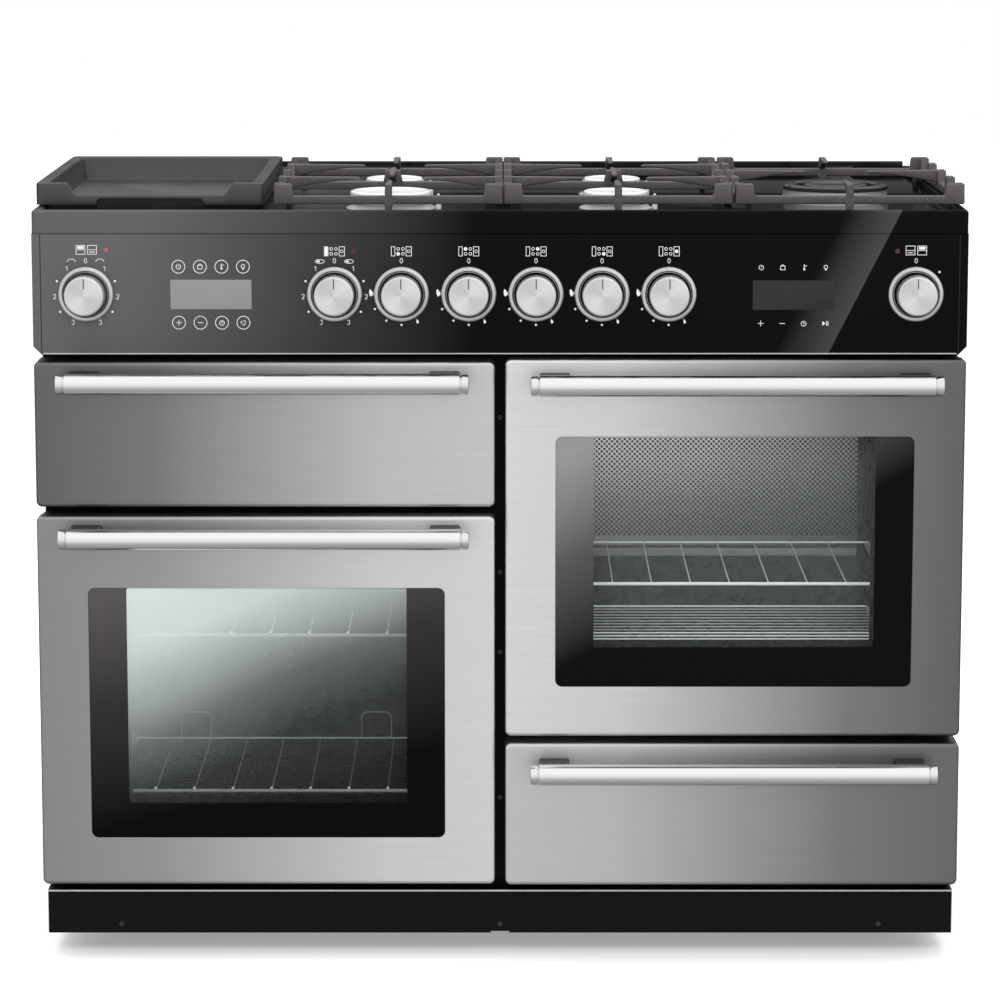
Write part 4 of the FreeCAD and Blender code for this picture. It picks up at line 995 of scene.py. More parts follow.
    def node_finishes(self) -> dict[str, Material]:
        """Return the finish of each material slot of the frame's own nodes."""
        lacquer = Paint("satin black lacquer", (0.0045, 0.0045, 0.005), 0.36, 0.2, 900.0, 0.00001,
                        gloss=0.06)
        zinc = Paint("zinc sheet", (0.52, 0.53, 0.54), 0.42, 0.10, 90.0, 0.00002, 1.0)
        plastic = Paint("moulded plastic", (0.02, 0.02, 0.02), 0.55, 0.15, 600.0, 0.00004)
        rubber = Paint("seal rubber", (0.025, 0.025, 0.026), 0.75, 0.15, 500.0, 0.00005)
        brass = Paint("machined brass", (0.72, 0.55, 0.25), 0.30, 0.08, 300.0, 0.00001, 1.0)
        sheath = Paint("element sheath", (0.10, 0.09, 0.085), 0.5, 0.3, 120.0, 0.00003, 1.0)
        return {
            "black_enamel": lacquer.material(), "zinc_steel": zinc.material(),
            "black_plastic": plastic.material(), "seal_rubber": rubber.material(),
            "brass": brass.material(), "element": sheath.material(), "oven_enamel": self.enamel,
            "brushed_steel": self.steel, "hob_black": self.deck, "black_glass": self.fascia,
            "door_glass": self.dark_display, "chrome": self.shelf, "satin_alu": self.bezel,
            "cast_iron": self.iron, "griddle_iron": self.griddle, "burner_cap": self.cap,
            "burner_alu": self.burner,
        }


# ------------------------------------------------------------------------------------ layout


@dataclass
class Layout:
    """The planes that every assembly is placed by, read from the frame.

    Attributes:
        face: Y of the doors' front plane.
        rear: Y of the hob's rear edge.
        half: half of the hob's width.
    """

    face: float
    rear: float
    half: float

    @classmethod
    def read(cls) -> "Layout":
        """Read the planes from the hob plate's box."""
        low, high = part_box("hob_plate")
        return cls(low.y, high.y, high.x)

    def deep(self, distance: float) -> float:
        """Return the Y that lies this many millimetres behind the doors' front plane."""
        return self.face + distance * MM

    def span(self, front: float, rear: float) -> Span:
        """Return the Y span between two distances behind that plane, in millimetres."""
        return self.deep(front), self.deep(rear)


@dataclass
class Assembly:
    """A group of pieces that is built and dressed together.

    Attributes:
        layout: the cooker's planes.
        finishes: the cooker's materials.
    """

    layout: Layout
    finishes: Finishes

    def piece(self, name: str, surface: Surface, finish: Material, slot: str,
              body: str = "chassis", replaces: Sequence[str] = (),
              sharp: float = 35.0) -> bpy.types.Object:
        """Turn a surface into a piece that rides on a body, with its normals pointing outwards.

        Args:
            name: the piece's name.
            surface: its points and faces.
            finish: its material.
            slot: the record's material slot that the finish belongs to; not used.
            body: the body that it rides on.
            replaces: the frame's nodes that it stands for.
            sharp: edges that turn by more degrees than this stay sharp.

        Returns:
            The piece.
        """
        mesh = bpy.data.meshes.new(name)
        mesh.from_pydata(surface.points.tolist(), [], surface.faces)
        work = bmesh.new()
        work.from_mesh(mesh)
        bmesh.ops.recalc_face_normals(work, faces=work.faces)
        work.to_mesh(mesh)
        work.free()
        if surface.uv is not None:
            layer = mesh.uv_layers.new(name="surface")
            corners = np.zeros(len(mesh.loops), dtype=np.int32)
            mesh.loops.foreach_get("vertex_index", corners)
            layer.data.foreach_set("uv", surface.uv[corners].astype(np.float32).ravel())
        mesh.shade_smooth()
        mesh.set_sharp_from_angle(angle=math.radians(sharp))
        mesh.update()
        mesh.materials.append(finish)
        piece = bpy.data.objects.new(name, mesh)
        bpy.context.scene.collection.objects.link(piece)
        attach(piece, body)
        if replaces:
            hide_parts(*replaces)
        LOG.info("made %s with %d faces", name, len(mesh.polygons))
        return piece


def wall_outline(across: Span, up: Span, radius: float, runs: int = 90) -> np.ndarray:
    """Return a rounded rectangle whose four straight sides have this many points each.

    A point on a side is start + (end - start) * share, so outlines of several insets match.

    Args:
        across: low and high of the first direction.
        up: low and high of the second direction.
        radius: the corners' radius.
        runs: points on each side.

    Returns:
        An (n, 2) array.
    """
    steps = 8
    outline = rounded_outline(across, up, radius, steps)
    share = np.linspace(0.0, 1.0, runs + 2)[1:-1, None]
    parts = []
    for corner in range(4):
        first = corner * (steps + 1)
        start, end = outline[first + steps], outline[(first + steps + 1) % len(outline)]
        parts += [outline[first:first + steps + 1], start + (end - start) * share]
    return np.vstack(parts)


def ringed(rings: np.ndarray) -> Surface:
    """Skin a stack of closed rings whose last ring joins the first, as in a frame with a hole."""
    return loft(np.concatenate([rings, rings[:1]]), False, False)


# ------------------------------------------------------------------------------------ hob


@dataclass
class Burner:
    """One burner's place and sizes, in millimetres.

    Attributes:
        name: the start of its pieces' names.
        x: its centre's X.
        back: its centre's distance behind the doors' front plane.
        cap: radius of its cap.
    """

    name: str
    x: float
    back: float
    cap: float


@dataclass
class Hob(Assembly):
    """The enamelled hob plate with its rail at the rear, and the five burners on it.

    Attributes:
        rim: width of the raised rim.
        low: underside of the rim.
        top: top of the rim.
        deck: height of the deck inside the rim.
        edge: radius of the rim's upper edges.
        corner: radius of the plate's corners.
        cap_top: height of the burner caps.
        burners: the five burners, the wok burner last.
        wok_ring: inner and outer radius of the wok burner's outer ring.
    """

    rim: float = 12 * MM
    low: float = 878 * MM
    top: float = 905 * MM
    deck: float = 893 * MM
    edge: float = 4 * MM
    corner: float = 7 * MM
    cap_top: float = 915 * MM
    burners: tuple[Burner, ...] = (
        Burner("front_left", -131, 143.5, 49), Burner("rear_left", -131, 318.5, 36),
        Burner("rear_right", 139, 318.5, 36), Burner("front_right", 139, 143.5, 39),
        Burner("wok", 411, 235, 39))
    wok_ring: Pair = mm(50, 64)

    def build(self) -> None:
        """Build the plate, the rear rail and the burners."""
        self.build_plate()
        self.build_burners()

    def build_plate(self) -> None:
        """Build the rim and deck in one skin: up the outside, over the rim, down to the deck."""
        turn = np.linspace(0.0, math.pi / 2, 5)
        profile = [(0.0, self.low), (0.0, self.low + 0.6 * MM)]
        profile += [(self.edge * (1 - math.cos(a)), self.top - self.edge * (1 - math.sin(a)))
                    for a in turn]
        profile += [(self.rim - self.edge * (1 - math.sin(a)),
                     self.top - self.edge * (1 - math.cos(a))) for a in turn]
        fillet = 3 * MM
        profile += [(self.rim + fillet * (1 - math.cos(a)), self.deck + fillet * (1 - math.sin(a)))
                    for a in turn]
        across, along = (-self.layout.half, self.layout.half), (self.layout.face, self.layout.rear)
        rings = [lifted(rounded_outline((across[0] + inset, across[1] - inset),
                                        (along[0] + inset, along[1] - inset),
                                        max(self.corner - inset * 0.3, 2 * MM)), Axis.Z, level)
                 for inset, level in profile]
        self.piece("hob_rim_and_deck", loft(np.array(rings)), self.finishes.rim, "hob_black",
                   replaces=["hob_plate"])
        self.piece("hob_rear_rail", self.rear_rail(), self.finishes.deck, "hob_black")

    def rear_rail(self) -> Surface:
        """Return the rail at the rear edge: a base, two lips, and bridges that part its slots."""
        front, rear = self.layout.rear - 10.5 * MM, self.layout.rear - 1.5 * MM
        bottom, sunk, soft = 904.5 * MM, 1 * MM, 1 * MM
        half, top, base = self.layout.half - 12 * MM, 911 * MM, 906.5 * MM
        lip = 3 * MM
        parts = [block((-half, half), (front, rear), (bottom, base), Axis.Z, 2 * MM, 0.3 * MM)]
        for lip_span in ((front, front + lip), (rear - lip, rear)):
            parts.append(block((-half, half), lip_span, (base - sunk, top), Axis.Z, soft, soft))
        ends = [-half, -390 * MM, -210 * MM, -90 * MM, 90 * MM, 210 * MM, 390 * MM, half]
        for span in zip(ends[::2], ends[1::2]):
            parts.append(block(span, (front + sunk, rear - sunk), (base - sunk, top - 0.2 * MM),
                               Axis.Z, soft, soft / 2))
        return merged(parts)

    def build_burners(self) -> None:
        """Build each burner's casting with its igniter, and its cap."""
        castings, caps, wok_caps, tips = [], [], [], []
        low = self.cap_top - 6 * MM
        for burner in self.burners:
            centre = (burner.x * MM, self.layout.deep(burner.back), 0.0)
            radius = burner.cap * MM
            body = radius - 4 * MM
            deck, foot = self.deck, body + 9 * MM
            castings.append(turned([
                (0.0, deck - 1 * MM), (foot, deck - 1 * MM), (foot, deck + 1.5 * MM),
                (foot - 1.5 * MM, deck + 2.6 * MM), (body + 1 * MM, deck + 4.5 * MM),
                (body, deck + 5.5 * MM), (body, low - 4 * MM), (body + 2 * MM, low - 2 * MM),
                (body + 2 * MM, low + 0.5 * MM), (0.0, low + 0.5 * MM)], centre, Axis.Z))
            (wok_caps if burner.name == "wok" else caps).append(self.cap(radius, centre, low))
            tips.append(self.igniter((centre[0] + foot + 3 * MM, centre[1], 0.0)))
        wok = self.burners[-1]
        centre = (wok.x * MM, self.layout.deep(wok.back), 0.0)
        inner, outer = self.wok_ring
        castings.append(turned_ring([
            (inner + 1.5 * MM, self.deck - 1 * MM), (outer + 1.5 * MM, self.deck - 1 * MM),
            (outer + 1.5 * MM, self.deck + 2 * MM), (outer - 1.5 * MM, low - 1 * MM),
            (outer - 1.5 * MM, low + 0.5 * MM), (inner + 1.5 * MM, low + 0.5 * MM)], centre, Axis.Z))
        top, soft = self.cap_top, 2 * MM
        wok_caps.append(turned_ring([
            (inner, low), (outer - 0.5 * MM, low), (outer, low + 0.6 * MM), (outer, top - soft),
            (outer - 0.6 * soft, top - 0.35 * soft), (outer - 1.6 * soft, top), (inner + soft, top),
            (inner, top - soft)], centre, Axis.Z))
        self.piece("burner_castings", merged(castings), self.finishes.burner, "burner_alu",
                   replaces=["burner_heads"])
        self.piece("burner_enamel_caps", merged(caps), self.finishes.cap, "burner_cap",
                   replaces=["burner_caps"])
        self.piece("wok_burner_enamel_caps", merged(wok_caps), self.finishes.wok_cap, "burner_cap")
        self.piece("burner_igniters", merged(tips), self.finishes.print, "burner_alu")

    def igniter(self, centre: Point) -> Surface:
        """Return the thin tip of an igniter on its round foot."""
        foot, tip, top = 3.4 * MM, 1.7 * MM, 911 * MM
        return turned([(0.0, self.deck), (foot, self.deck), (foot, self.deck + 6 * MM),
                       (tip, self.deck + 7.5 * MM), (tip, top - 1 * MM), (0.9 * MM, top), (0.0, top)],
                      centre, Axis.Z, steps=16)

    def cap(self, radius: float, centre: Point, low: float) -> Surface:
        """Return a round cap with a soft edge and a slightly dished top."""
        top, soft = self.cap_top, 2.2 * MM
        return turned([(0.0, low), (radius - 0.6 * MM, low), (radius, low + 0.6 * MM),
                       (radius, top - soft), (radius - 0.3 * soft, top - 0.35 * soft),
                       (radius - 1.1 * soft, top), (radius - 3 * soft, top),
                       (radius - 4 * soft, top - 0.7 * MM), (0.0, top - 0.7 * MM)], centre, Axis.Z)


@dataclass
class PanSupports(Assembly):
    """Three cast pan supports: rings of bars with raised lugs, fingers and feet.

    Attributes:
        front: how far behind the doors' front plane a support starts, in millimetres.
        rear: how far behind it ends.
        half: half of a support's width.
        bar: half of a bar's width.
        low: underside of the bars.
        high: top of the bars.
        lug: top of the lugs and fingers.
        lug_long: length of a lug.
        tip: how far a finger stays from its burner's centre.
        middle: where a support's middle row is, behind the doors' front plane.
        foot_low: underside of the feet.
        foot_in: how far the corner feet stand inside the bars' middle lines, across and along.
        foot_half: half width and half length of a corner foot.
        bridge_half: half width of the bridge between a corner foot and its bar.
        bridge_long: length of a bridge.
        bridge_high: height of a bridge.
    """

    front: float = 40
    rear: float = 422
    half: float = 134.5
    bar: float = 5
    low: float = 908
    high: float = 918
    lug: float = 932
    lug_long: float = 23
    tip: float = 37
    middle: float = 231
    foot_low: float = 893.2
    foot_in: Pair = (12, 14)
    foot_half: Pair = (3.5, 4)
    bridge_half: float = 3
    bridge_long: float = 18
    bridge_high: float = 6

    def build(self) -> None:
        """Build the three supports."""
        twin = (143.5, 318.5)
        self.build_support("left_pan_support", -131, (self.middle,), twin)
        self.build_support("middle_pan_support", 139, (self.middle,), twin)
        self.build_support("right_pan_support", 411, (143, 326), (self.middle,))

    def bar_between(self, start: Pair, end: Pair,
                    lugs: Sequence[float], feet: Sequence[float] = ()) -> Surface:
        """Return a bar with lugs on it and feet under it.

        The top rises from high to lug near each lug's place: high + (lug - high) * rise, where rise
        is 1 within half a lug's length and falls to 0 over the next 3 mm.

        Args:
            start: X and distance behind the front plane of one end, in millimetres.
            end: the same of the other end.
            lugs: places of the lugs along the bar, in millimetres from its start.
            feet: places of the feet along the bar.

        Returns:
            A closed surface.
        """
        length = math.dist(start, end)

        def near(share: np.ndarray, places: Sequence[float], half: float, fall: float) -> np.ndarray:
            """Return 1 near a place and 0 away from it."""
            best = np.zeros_like(share)
            for spot in places:
                away = np.abs(share * length - spot)
                best = np.maximum(best, 1 - smooth_step(away, half, half + fall))
            return best

        return cast_bar(
            np.array([start[0] * MM, self.layout.deep(start[1])]),
            np.array([end[0] * MM, self.layout.deep(end[1])]),
            lambda t: (self.high + (self.lug - self.high)
                       * near(t, lugs, self.lug_long / 2 - 2.5, 2.5)) * MM,
            lambda t: (self.low - (self.low - self.foot_low) * near(t, feet, 3.0, 2)) * MM,
            lambda t: (self.bar - 0.8 + 0.8 * near(t, lugs, self.lug_long / 2, 6)) * MM,
            stations=max(24, int(length / 1.3)))

    def finger(self, root: Pair, tip: Pair, deep: float = 16,
               tip_deep: float = 4) -> Surface:
        """Return a finger with a flat top and a curved underside that thins towards its tip.

        The depth under the top is tip_deep + (deep - tip_deep) * (1 - t)^1.6 at a share t.

        Args:
            root: X and distance behind the front plane of the thick end, in millimetres.
            tip: the same of the thin end.
            deep: depth at the root.
            tip_deep: depth at the tip.

        Returns:
            A closed surface.
        """
        return cast_bar(
            np.array([root[0] * MM, self.layout.deep(root[1])]),
            np.array([tip[0] * MM, self.layout.deep(tip[1])]),
            lambda t: (self.lug - 0.8 * t) * MM,
            lambda t: (self.lug - tip_deep - (deep - tip_deep) * (1 - t) ** 1.6) * MM,
            lambda t: (4.4 - 1.5 * t) * MM, stations=26, soft=1.5 * MM)

    def build_support(self, name: str, centre: float, rows: Sequence[float],
                      burners: Sequence[float]) -> None:
        """Build one support.

        Args:
            name: the node that it replaces, which is also its body.
            centre: X of its middle.
            rows: where the side bars have lugs between their ends.
            burners: where its burners are.
        """
        left, right = centre - self.half + self.bar, centre + self.half - self.bar
        front, rear = self.front + self.bar, self.rear - self.bar
        ends = self.lug_long / 2
        wide, long = 2 * self.half, self.rear - self.front
        hidden = 2  # how far the side bars' ends lie inside the cross bars
        parts = []
        for x in (left, right):
            places = [ends - hidden, long - ends - hidden]
            places += [row - self.front - hidden for row in rows + tuple(burners)]
            parts.append(self.bar_between((x, self.front + hidden), (x, self.rear - hidden), places))
        for y in (front, rear):
            parts.append(self.bar_between((centre - self.half, y), (centre + self.half, y),
                                          [ends, wide - ends], [wide / 2]))
        for row in burners:
            for side in (-1, 1):
                edge = centre + side * (self.half - self.bar)
                parts.append(self.finger((edge, row), (centre + side * self.tip, row)))
        parts.append(self.finger((centre, self.front), (centre, 102)))
        parts.append(self.finger((centre, self.rear), (centre, 360)))
        if len(burners) > 1:
            row = self.middle
            parts.append(self.bar_between((left, row), (right, row), [wide / 2 - self.bar]))
            parts += [self.finger((centre, row), (centre, row + reach)) for reach in (-47, 47)]
        self.piece(f"{name}_casting", merged(parts), self.finishes.iron, "cast_iron", name, [name])
        sides = (left + self.foot_in[0], right - self.foot_in[0])
        half_x, half_y = self.foot_half
        feet = [block(mm(x - half_x, x + half_x), self.layout.span(y - half_y, y + half_y),
                      mm(self.foot_low, self.low + 1), Axis.Z, 2 * MM, 1 * MM)
                for x in sides for y in (front + self.foot_in[1], rear - self.foot_in[1])]
        bridges = [block(mm(x - self.bridge_half, x + self.bridge_half), self.layout.span(*ends_y),
                         mm(self.low, self.low + self.bridge_high), Axis.Z, 1 * MM, 1 * MM)
                   for x in sides
                   for ends_y in ((front, front + self.bridge_long), (rear - self.bridge_long, rear))]
        self.piece(f"{name}_feet", merged(feet + bridges), self.finishes.bracket, "cast_iron", name)


@dataclass
class Griddle(Assembly):
    """The cast griddle over the left side of the hob; sizes in millimetres.

    Attributes:
        left: X of its left side.
        right: X of its right side.
        front: distance of its front behind the doors' front plane.
        rear: the same of its rear.
        low: underside of the pan.
        wall_low: underside of the walls.
        plate: height of the cooking plate.
        high: top of the walls.
        lip: top of the low part of the front wall.
        wall: thickness of the walls.
        belly: how far the pan's underside is set in.
        corner: radius of the corners.
        lip_half: half width of the lip.
        lug_in: half distance between the two front corners' high parts.
        recess_half: half width of the recess in the front wall.
        recess_high: height of that recess.
        foot_low: underside of its feet.
        foot_in: how far the feet stand in from its sides.
    """

    left: float = -545
    right: float = -277
    front: float = 40
    rear: float = 422
    low: float = 898
    wall_low: float = 907
    plate: float = 903
    high: float = 933
    lip: float = 919
    wall: float = 15.5
    belly: float = 12.5
    corner: float = 10
    lip_half: float = 88
    lug_in: float = 98
    recess_half: float = 61
    recess_high: float = 7
    foot_low: float = 893.2
    foot_in: float = 22

    def in_front(self, outline: np.ndarray) -> np.ndarray:
        """Return 1 for points of the front wall and 0 for all others."""
        return (outline[:, 1] < self.layout.deep(self.front + self.wall + 2)).astype(float)

    def off_middle(self, outline: np.ndarray) -> np.ndarray:
        """Return how far each point is from the griddle's middle line, in millimetres."""
        return np.abs(outline[:, 0] / MM - (self.left + self.right) / 2)

    def top(self, outline: np.ndarray, drop: float = 0.0) -> np.ndarray:
        """Return the wall's top: the lip along the middle of the front, the full height elsewhere."""
        slope_long = self.lug_in - self.lip_half
        away = np.clip((self.off_middle(outline) - self.lip_half) / slope_long, 0, 1)
        dip = self.in_front(outline) * (1 - away)
        return (self.high - drop - (self.high - self.lip) * dip) * MM

    def foot(self, outline: np.ndarray, rise: float = 0.0) -> np.ndarray:
        """Return the wall's underside, raised in the recess in the front wall."""
        inside = 1 - np.clip((self.off_middle(outline) - self.recess_half) / 2, 0, 1)
        return (self.wall_low + rise + self.recess_high * inside * self.in_front(outline)) * MM

    def slope(self, outline: np.ndarray) -> np.ndarray:
        """Return the underside halfway to the belly; it stays over the hob's rim at the left."""
        over_rim = 1 - smooth_step(outline[:, 0] / MM, self.left + 14, self.left + 20)
        return (902.5 + 3.8 * over_rim) * MM

    def ring(self, inset: float, level: Callable[[np.ndarray], np.ndarray] | float) -> np.ndarray:
        """Return the ring at an inset from the outside and at a level."""
        across = (self.left + inset) * MM, (self.right - inset) * MM
        along = self.layout.deep(self.front + inset), self.layout.deep(self.rear - inset)
        outline = wall_outline(across, along, max(self.corner - inset * 0.3, 5) * MM)
        return lifted(outline, Axis.Z, level(outline) if callable(level) else level)

    def build(self) -> None:
        """Build the pan and its feet."""
        wall, low, plate = self.wall, self.low * MM, self.plate * MM
        rings = [self.ring(self.belly + 2, low), self.ring(self.belly + 0.5, low + 1 * MM),
                 self.ring(self.belly, low + 2 * MM), self.ring(self.belly - 2.5, self.slope),
                 self.ring(4, self.foot), self.ring(0.9, self.foot),
                 self.ring(0.2, lambda o: self.foot(o, 0.7)), self.ring(0, lambda o: self.foot(o, 1.6)),
                 self.ring(0, lambda o: self.top(o, 2.0)), self.ring(0.4, lambda o: self.top(o, 0.8)),
                 self.ring(1.2, lambda o: self.top(o, 0.2)), self.ring(2.2, self.top),
                 self.ring(wall - 3.4, self.top), self.ring(wall - 1.6, lambda o: self.top(o, 0.6)),
                 self.ring(wall - 0.6, lambda o: self.top(o, 2.0)),
                 self.ring(wall, lambda o: self.top(o, 3.6)), self.ring(wall + 1.5, plate + 4 * MM),
                 self.ring(wall + 3.5, plate + 1.2 * MM), self.ring(wall + 8, plate)]
        foot, radius, top = self.foot_low * MM, 7 * MM, low + 0.5 * MM
        profile = [(0.0, foot), (radius - 1 * MM, foot), (radius, foot + 1 * MM), (radius, top),
                   (0.0, top)]
        feet = [turned(profile, (x * MM, self.layout.deep(y), 0.0), Axis.Z, steps=24)
                for x in (self.left + self.foot_in, self.right - self.foot_in)
                for y in (self.front + self.foot_in, self.rear - self.foot_in)]
        self.piece("griddle_casting", loft(np.array(rings)), self.finishes.griddle, "griddle_iron",
                   "griddle", ["griddle"])
        self.piece("griddle_feet", merged(feet), self.finishes.chrome, "griddle_iron", "griddle")


# ------------------------------------------------------------------------------------ controls


class Mark(Enum):
    """The printed signs of the control panel."""

    POWER = "power"
    CUBE = "cube"
    HEAT = "heat"
    LAMP = "lamp"
    PLUS = "plus"
    MINUS = "minus"
    TIMER = "timer"
    FAN = "fan"
    PLAY = "play"


@dataclass
class Print:
    """Thin printed shapes in the X-Z plane, gathered into one surface.

    Attributes:
        front: Y of the print's face.
        back: Y of its rear, inside what carries it.
        line: width of a line.
        shells: the shapes so far.
    """

    front: float
    back: float
    line: float = 0.65 * MM
    shells: list[Surface] = field(default_factory=list)

    def flat(self, outline: np.ndarray) -> None:
        """Add a filled outline, carried from the print's face to its rear."""
        self.shells.append(loft(np.array([lifted(outline, Axis.Y, self.front),
                                          lifted(outline, Axis.Y, self.back)])))

    def stroke(self, points: Pairs, line: float | None = None) -> None:
        """Add a line of even width: each point is moved half the width to both sides.

        Args:
            points: X and Z of the line's points.
            line: the line's width, the usual one if it is None.
        """
        path = np.array(points, dtype=float)
        half = (line or self.line) / 2
        tangent = np.gradient(path, axis=0)
        tangent /= np.linalg.norm(tangent, axis=1)[:, None]
        side = np.stack([-tangent[:, 1], tangent[:, 0]], axis=1) * half
        self.flat(np.vstack([path + side, (path - side)[::-1]]))

    def arc(self, centre: Pair, radii: Pair, start: float = 0.0,
            end: float = 360.0, line: float | None = None) -> None:
        """Add part of an ellipse's line, in degrees from the right, counter-clockwise."""
        angle = np.radians(np.linspace(start, end, 25))
        self.stroke(np.stack([centre[0] + radii[0] * np.cos(angle),
                              centre[1] + radii[1] * np.sin(angle)], axis=1), line)

    def disc(self, centre: Pair, radius: float) -> None:
        """Add a filled circle."""
        angle = np.linspace(0.0, 2 * math.pi, 16, endpoint=False)
        self.flat(np.stack([centre[0] + radius * np.cos(angle),
                            centre[1] + radius * np.sin(angle)], axis=1))

    def bar(self, across: Span, up: Span) -> None:
        """Add a filled rectangle."""
        self.flat(np.array([(across[0], up[0]), (across[1], up[0]), (across[1], up[1]),
                            (across[0], up[1])]))

    def outline(self, across: Span, up: Span) -> None:
        """Add a rectangle's line."""
        low_x, high_x, half = across[0], across[1], self.line / 2
        self.bar((low_x - half, high_x + half), (up[0] - half, up[0] + half))
        self.bar((low_x - half, high_x + half), (up[1] - half, up[1] + half))
        self.bar((low_x - half, low_x + half), (up[0] + half, up[1] - half))
        self.bar((high_x - half, high_x + half), (up[0] + half, up[1] - half))

    def digit(self, value: int, x: float, z: float, high: float = 5.4 * MM) -> None:
        """Add one of the digits 0 to 3, centred on a place."""
        half, wide = high / 2, high * 0.28
        if value == 0:
            self.arc((x, z), (wide, half))
        elif value == 1:
            self.stroke([(x - wide, z + half * 0.45), (x + wide * 0.2, z + half)])
            self.stroke([(x + wide * 0.2, z + half), (x + wide * 0.2, z - half)])
        elif value == 2:
            self.arc((x, z + half * 0.45), (wide, half * 0.55), -30, 160)
            self.stroke([(x + wide * 0.85, z + half * 0.15), (x - wide, z - half * 0.95)])
            self.stroke([(x - wide, z - half * 0.95), (x + wide, z - half * 0.95)])
        else:
            self.arc((x, z + half * 0.48), (wide, half * 0.5), -80, 150)
            self.arc((x, z - half * 0.45), (wide, half * 0.53), -150, 80)

    def flame(self, x: float, z: float, high: float) -> None:
        """Add a flame: a drop whose half width is sin(pi t^0.8) * 0.26 of its height at a share t."""
        share = np.linspace(0.0, 1.0, 14)
        half = 0.26 * high * np.sin(math.pi * share ** 0.8)
        lean = 0.08 * high * np.sin(math.pi * share * 1.5)
        level = z + high * (share - 0.5)
        self.flat(np.vstack([np.stack([x + half + lean, level], axis=1),
                             np.stack([x - half + lean, level], axis=1)[-2:0:-1]]))

    def sign(self, mark: Mark, x: float, z: float, size: float) -> None:
        """Add one of the touch panel's signs, centred on a place."""
        h = size / 2
        if mark is Mark.POWER:
            self.arc((x, z), (h * 0.8, h * 0.8), 120, 420)
            self.stroke([(x, z), (x, z + h)])
        elif mark is Mark.CUBE:
            self.outline((x - h * 0.8, x + h * 0.8), (z - h * 0.8, z + h * 0.5))
            self.stroke([(x - h * 0.8, z + h * 0.5), (x, z + h)])
            self.stroke([(x, z + h), (x + h * 0.8, z + h * 0.5)])
        elif mark is Mark.HEAT:
            self.disc((x, z - h * 0.6), h * 0.38)
            self.stroke([(x, z - h * 0.5), (x, z + h)], self.line * 1.6)
            self.stroke([(x + h * 0.4, z + h * 0.6), (x + h * 0.9, z + h * 0.6)])
        elif mark is Mark.LAMP:
            self.arc((x, z + h * 0.15), (h * 0.6, h * 0.65))
            self.bar((x - h * 0.28, x + h * 0.28), (z - h, z - h * 0.6))
        elif mark in (Mark.PLUS, Mark.MINUS):
            self.stroke([(x - h, z), (x + h, z)])
            if mark is Mark.PLUS:
                self.stroke([(x, z - h), (x, z + h)])
        elif mark is Mark.TIMER:
            self.arc((x, z - h * 0.1), (h * 0.85, h * 0.85))
            self.stroke([(x, z - h * 0.1), (x, z + h * 0.45)])
            self.stroke([(x, z - h * 0.1), (x + h * 0.4, z - h * 0.1)])
        elif mark is Mark.FAN:
            for turn in (45, 165, 285):
                away = math.radians(turn)
                self.arc((x + h * 0.45 * math.cos(away), z + h * 0.45 * math.sin(away)),
                         (h * 0.42, h * 0.42), turn - 90, turn + 110)
        else:
            self.flat(np.array([(x - h, z - h * 0.8), (x + h * 0.1, z), (x - h, z + h * 0.8)]))
            self.bar((x + h * 0.35, x + h * 0.6), (z - h * 0.8, z + h * 0.8))
            self.bar((x + h * 0.85, x + h * 1.1), (z - h * 0.8, z + h * 0.8))

    def surface(self) -> Surface:
        """Return all shapes as one surface."""
        return merged(self.shells)


class HobSign(Enum):
    """Which item of the small hob picture is filled."""

    GRIDDLE = 0
    FRONT_LEFT = 1
    REAR_LEFT = 2
    REAR_RIGHT = 3
    FRONT_RIGHT = 4
    WOK = 5


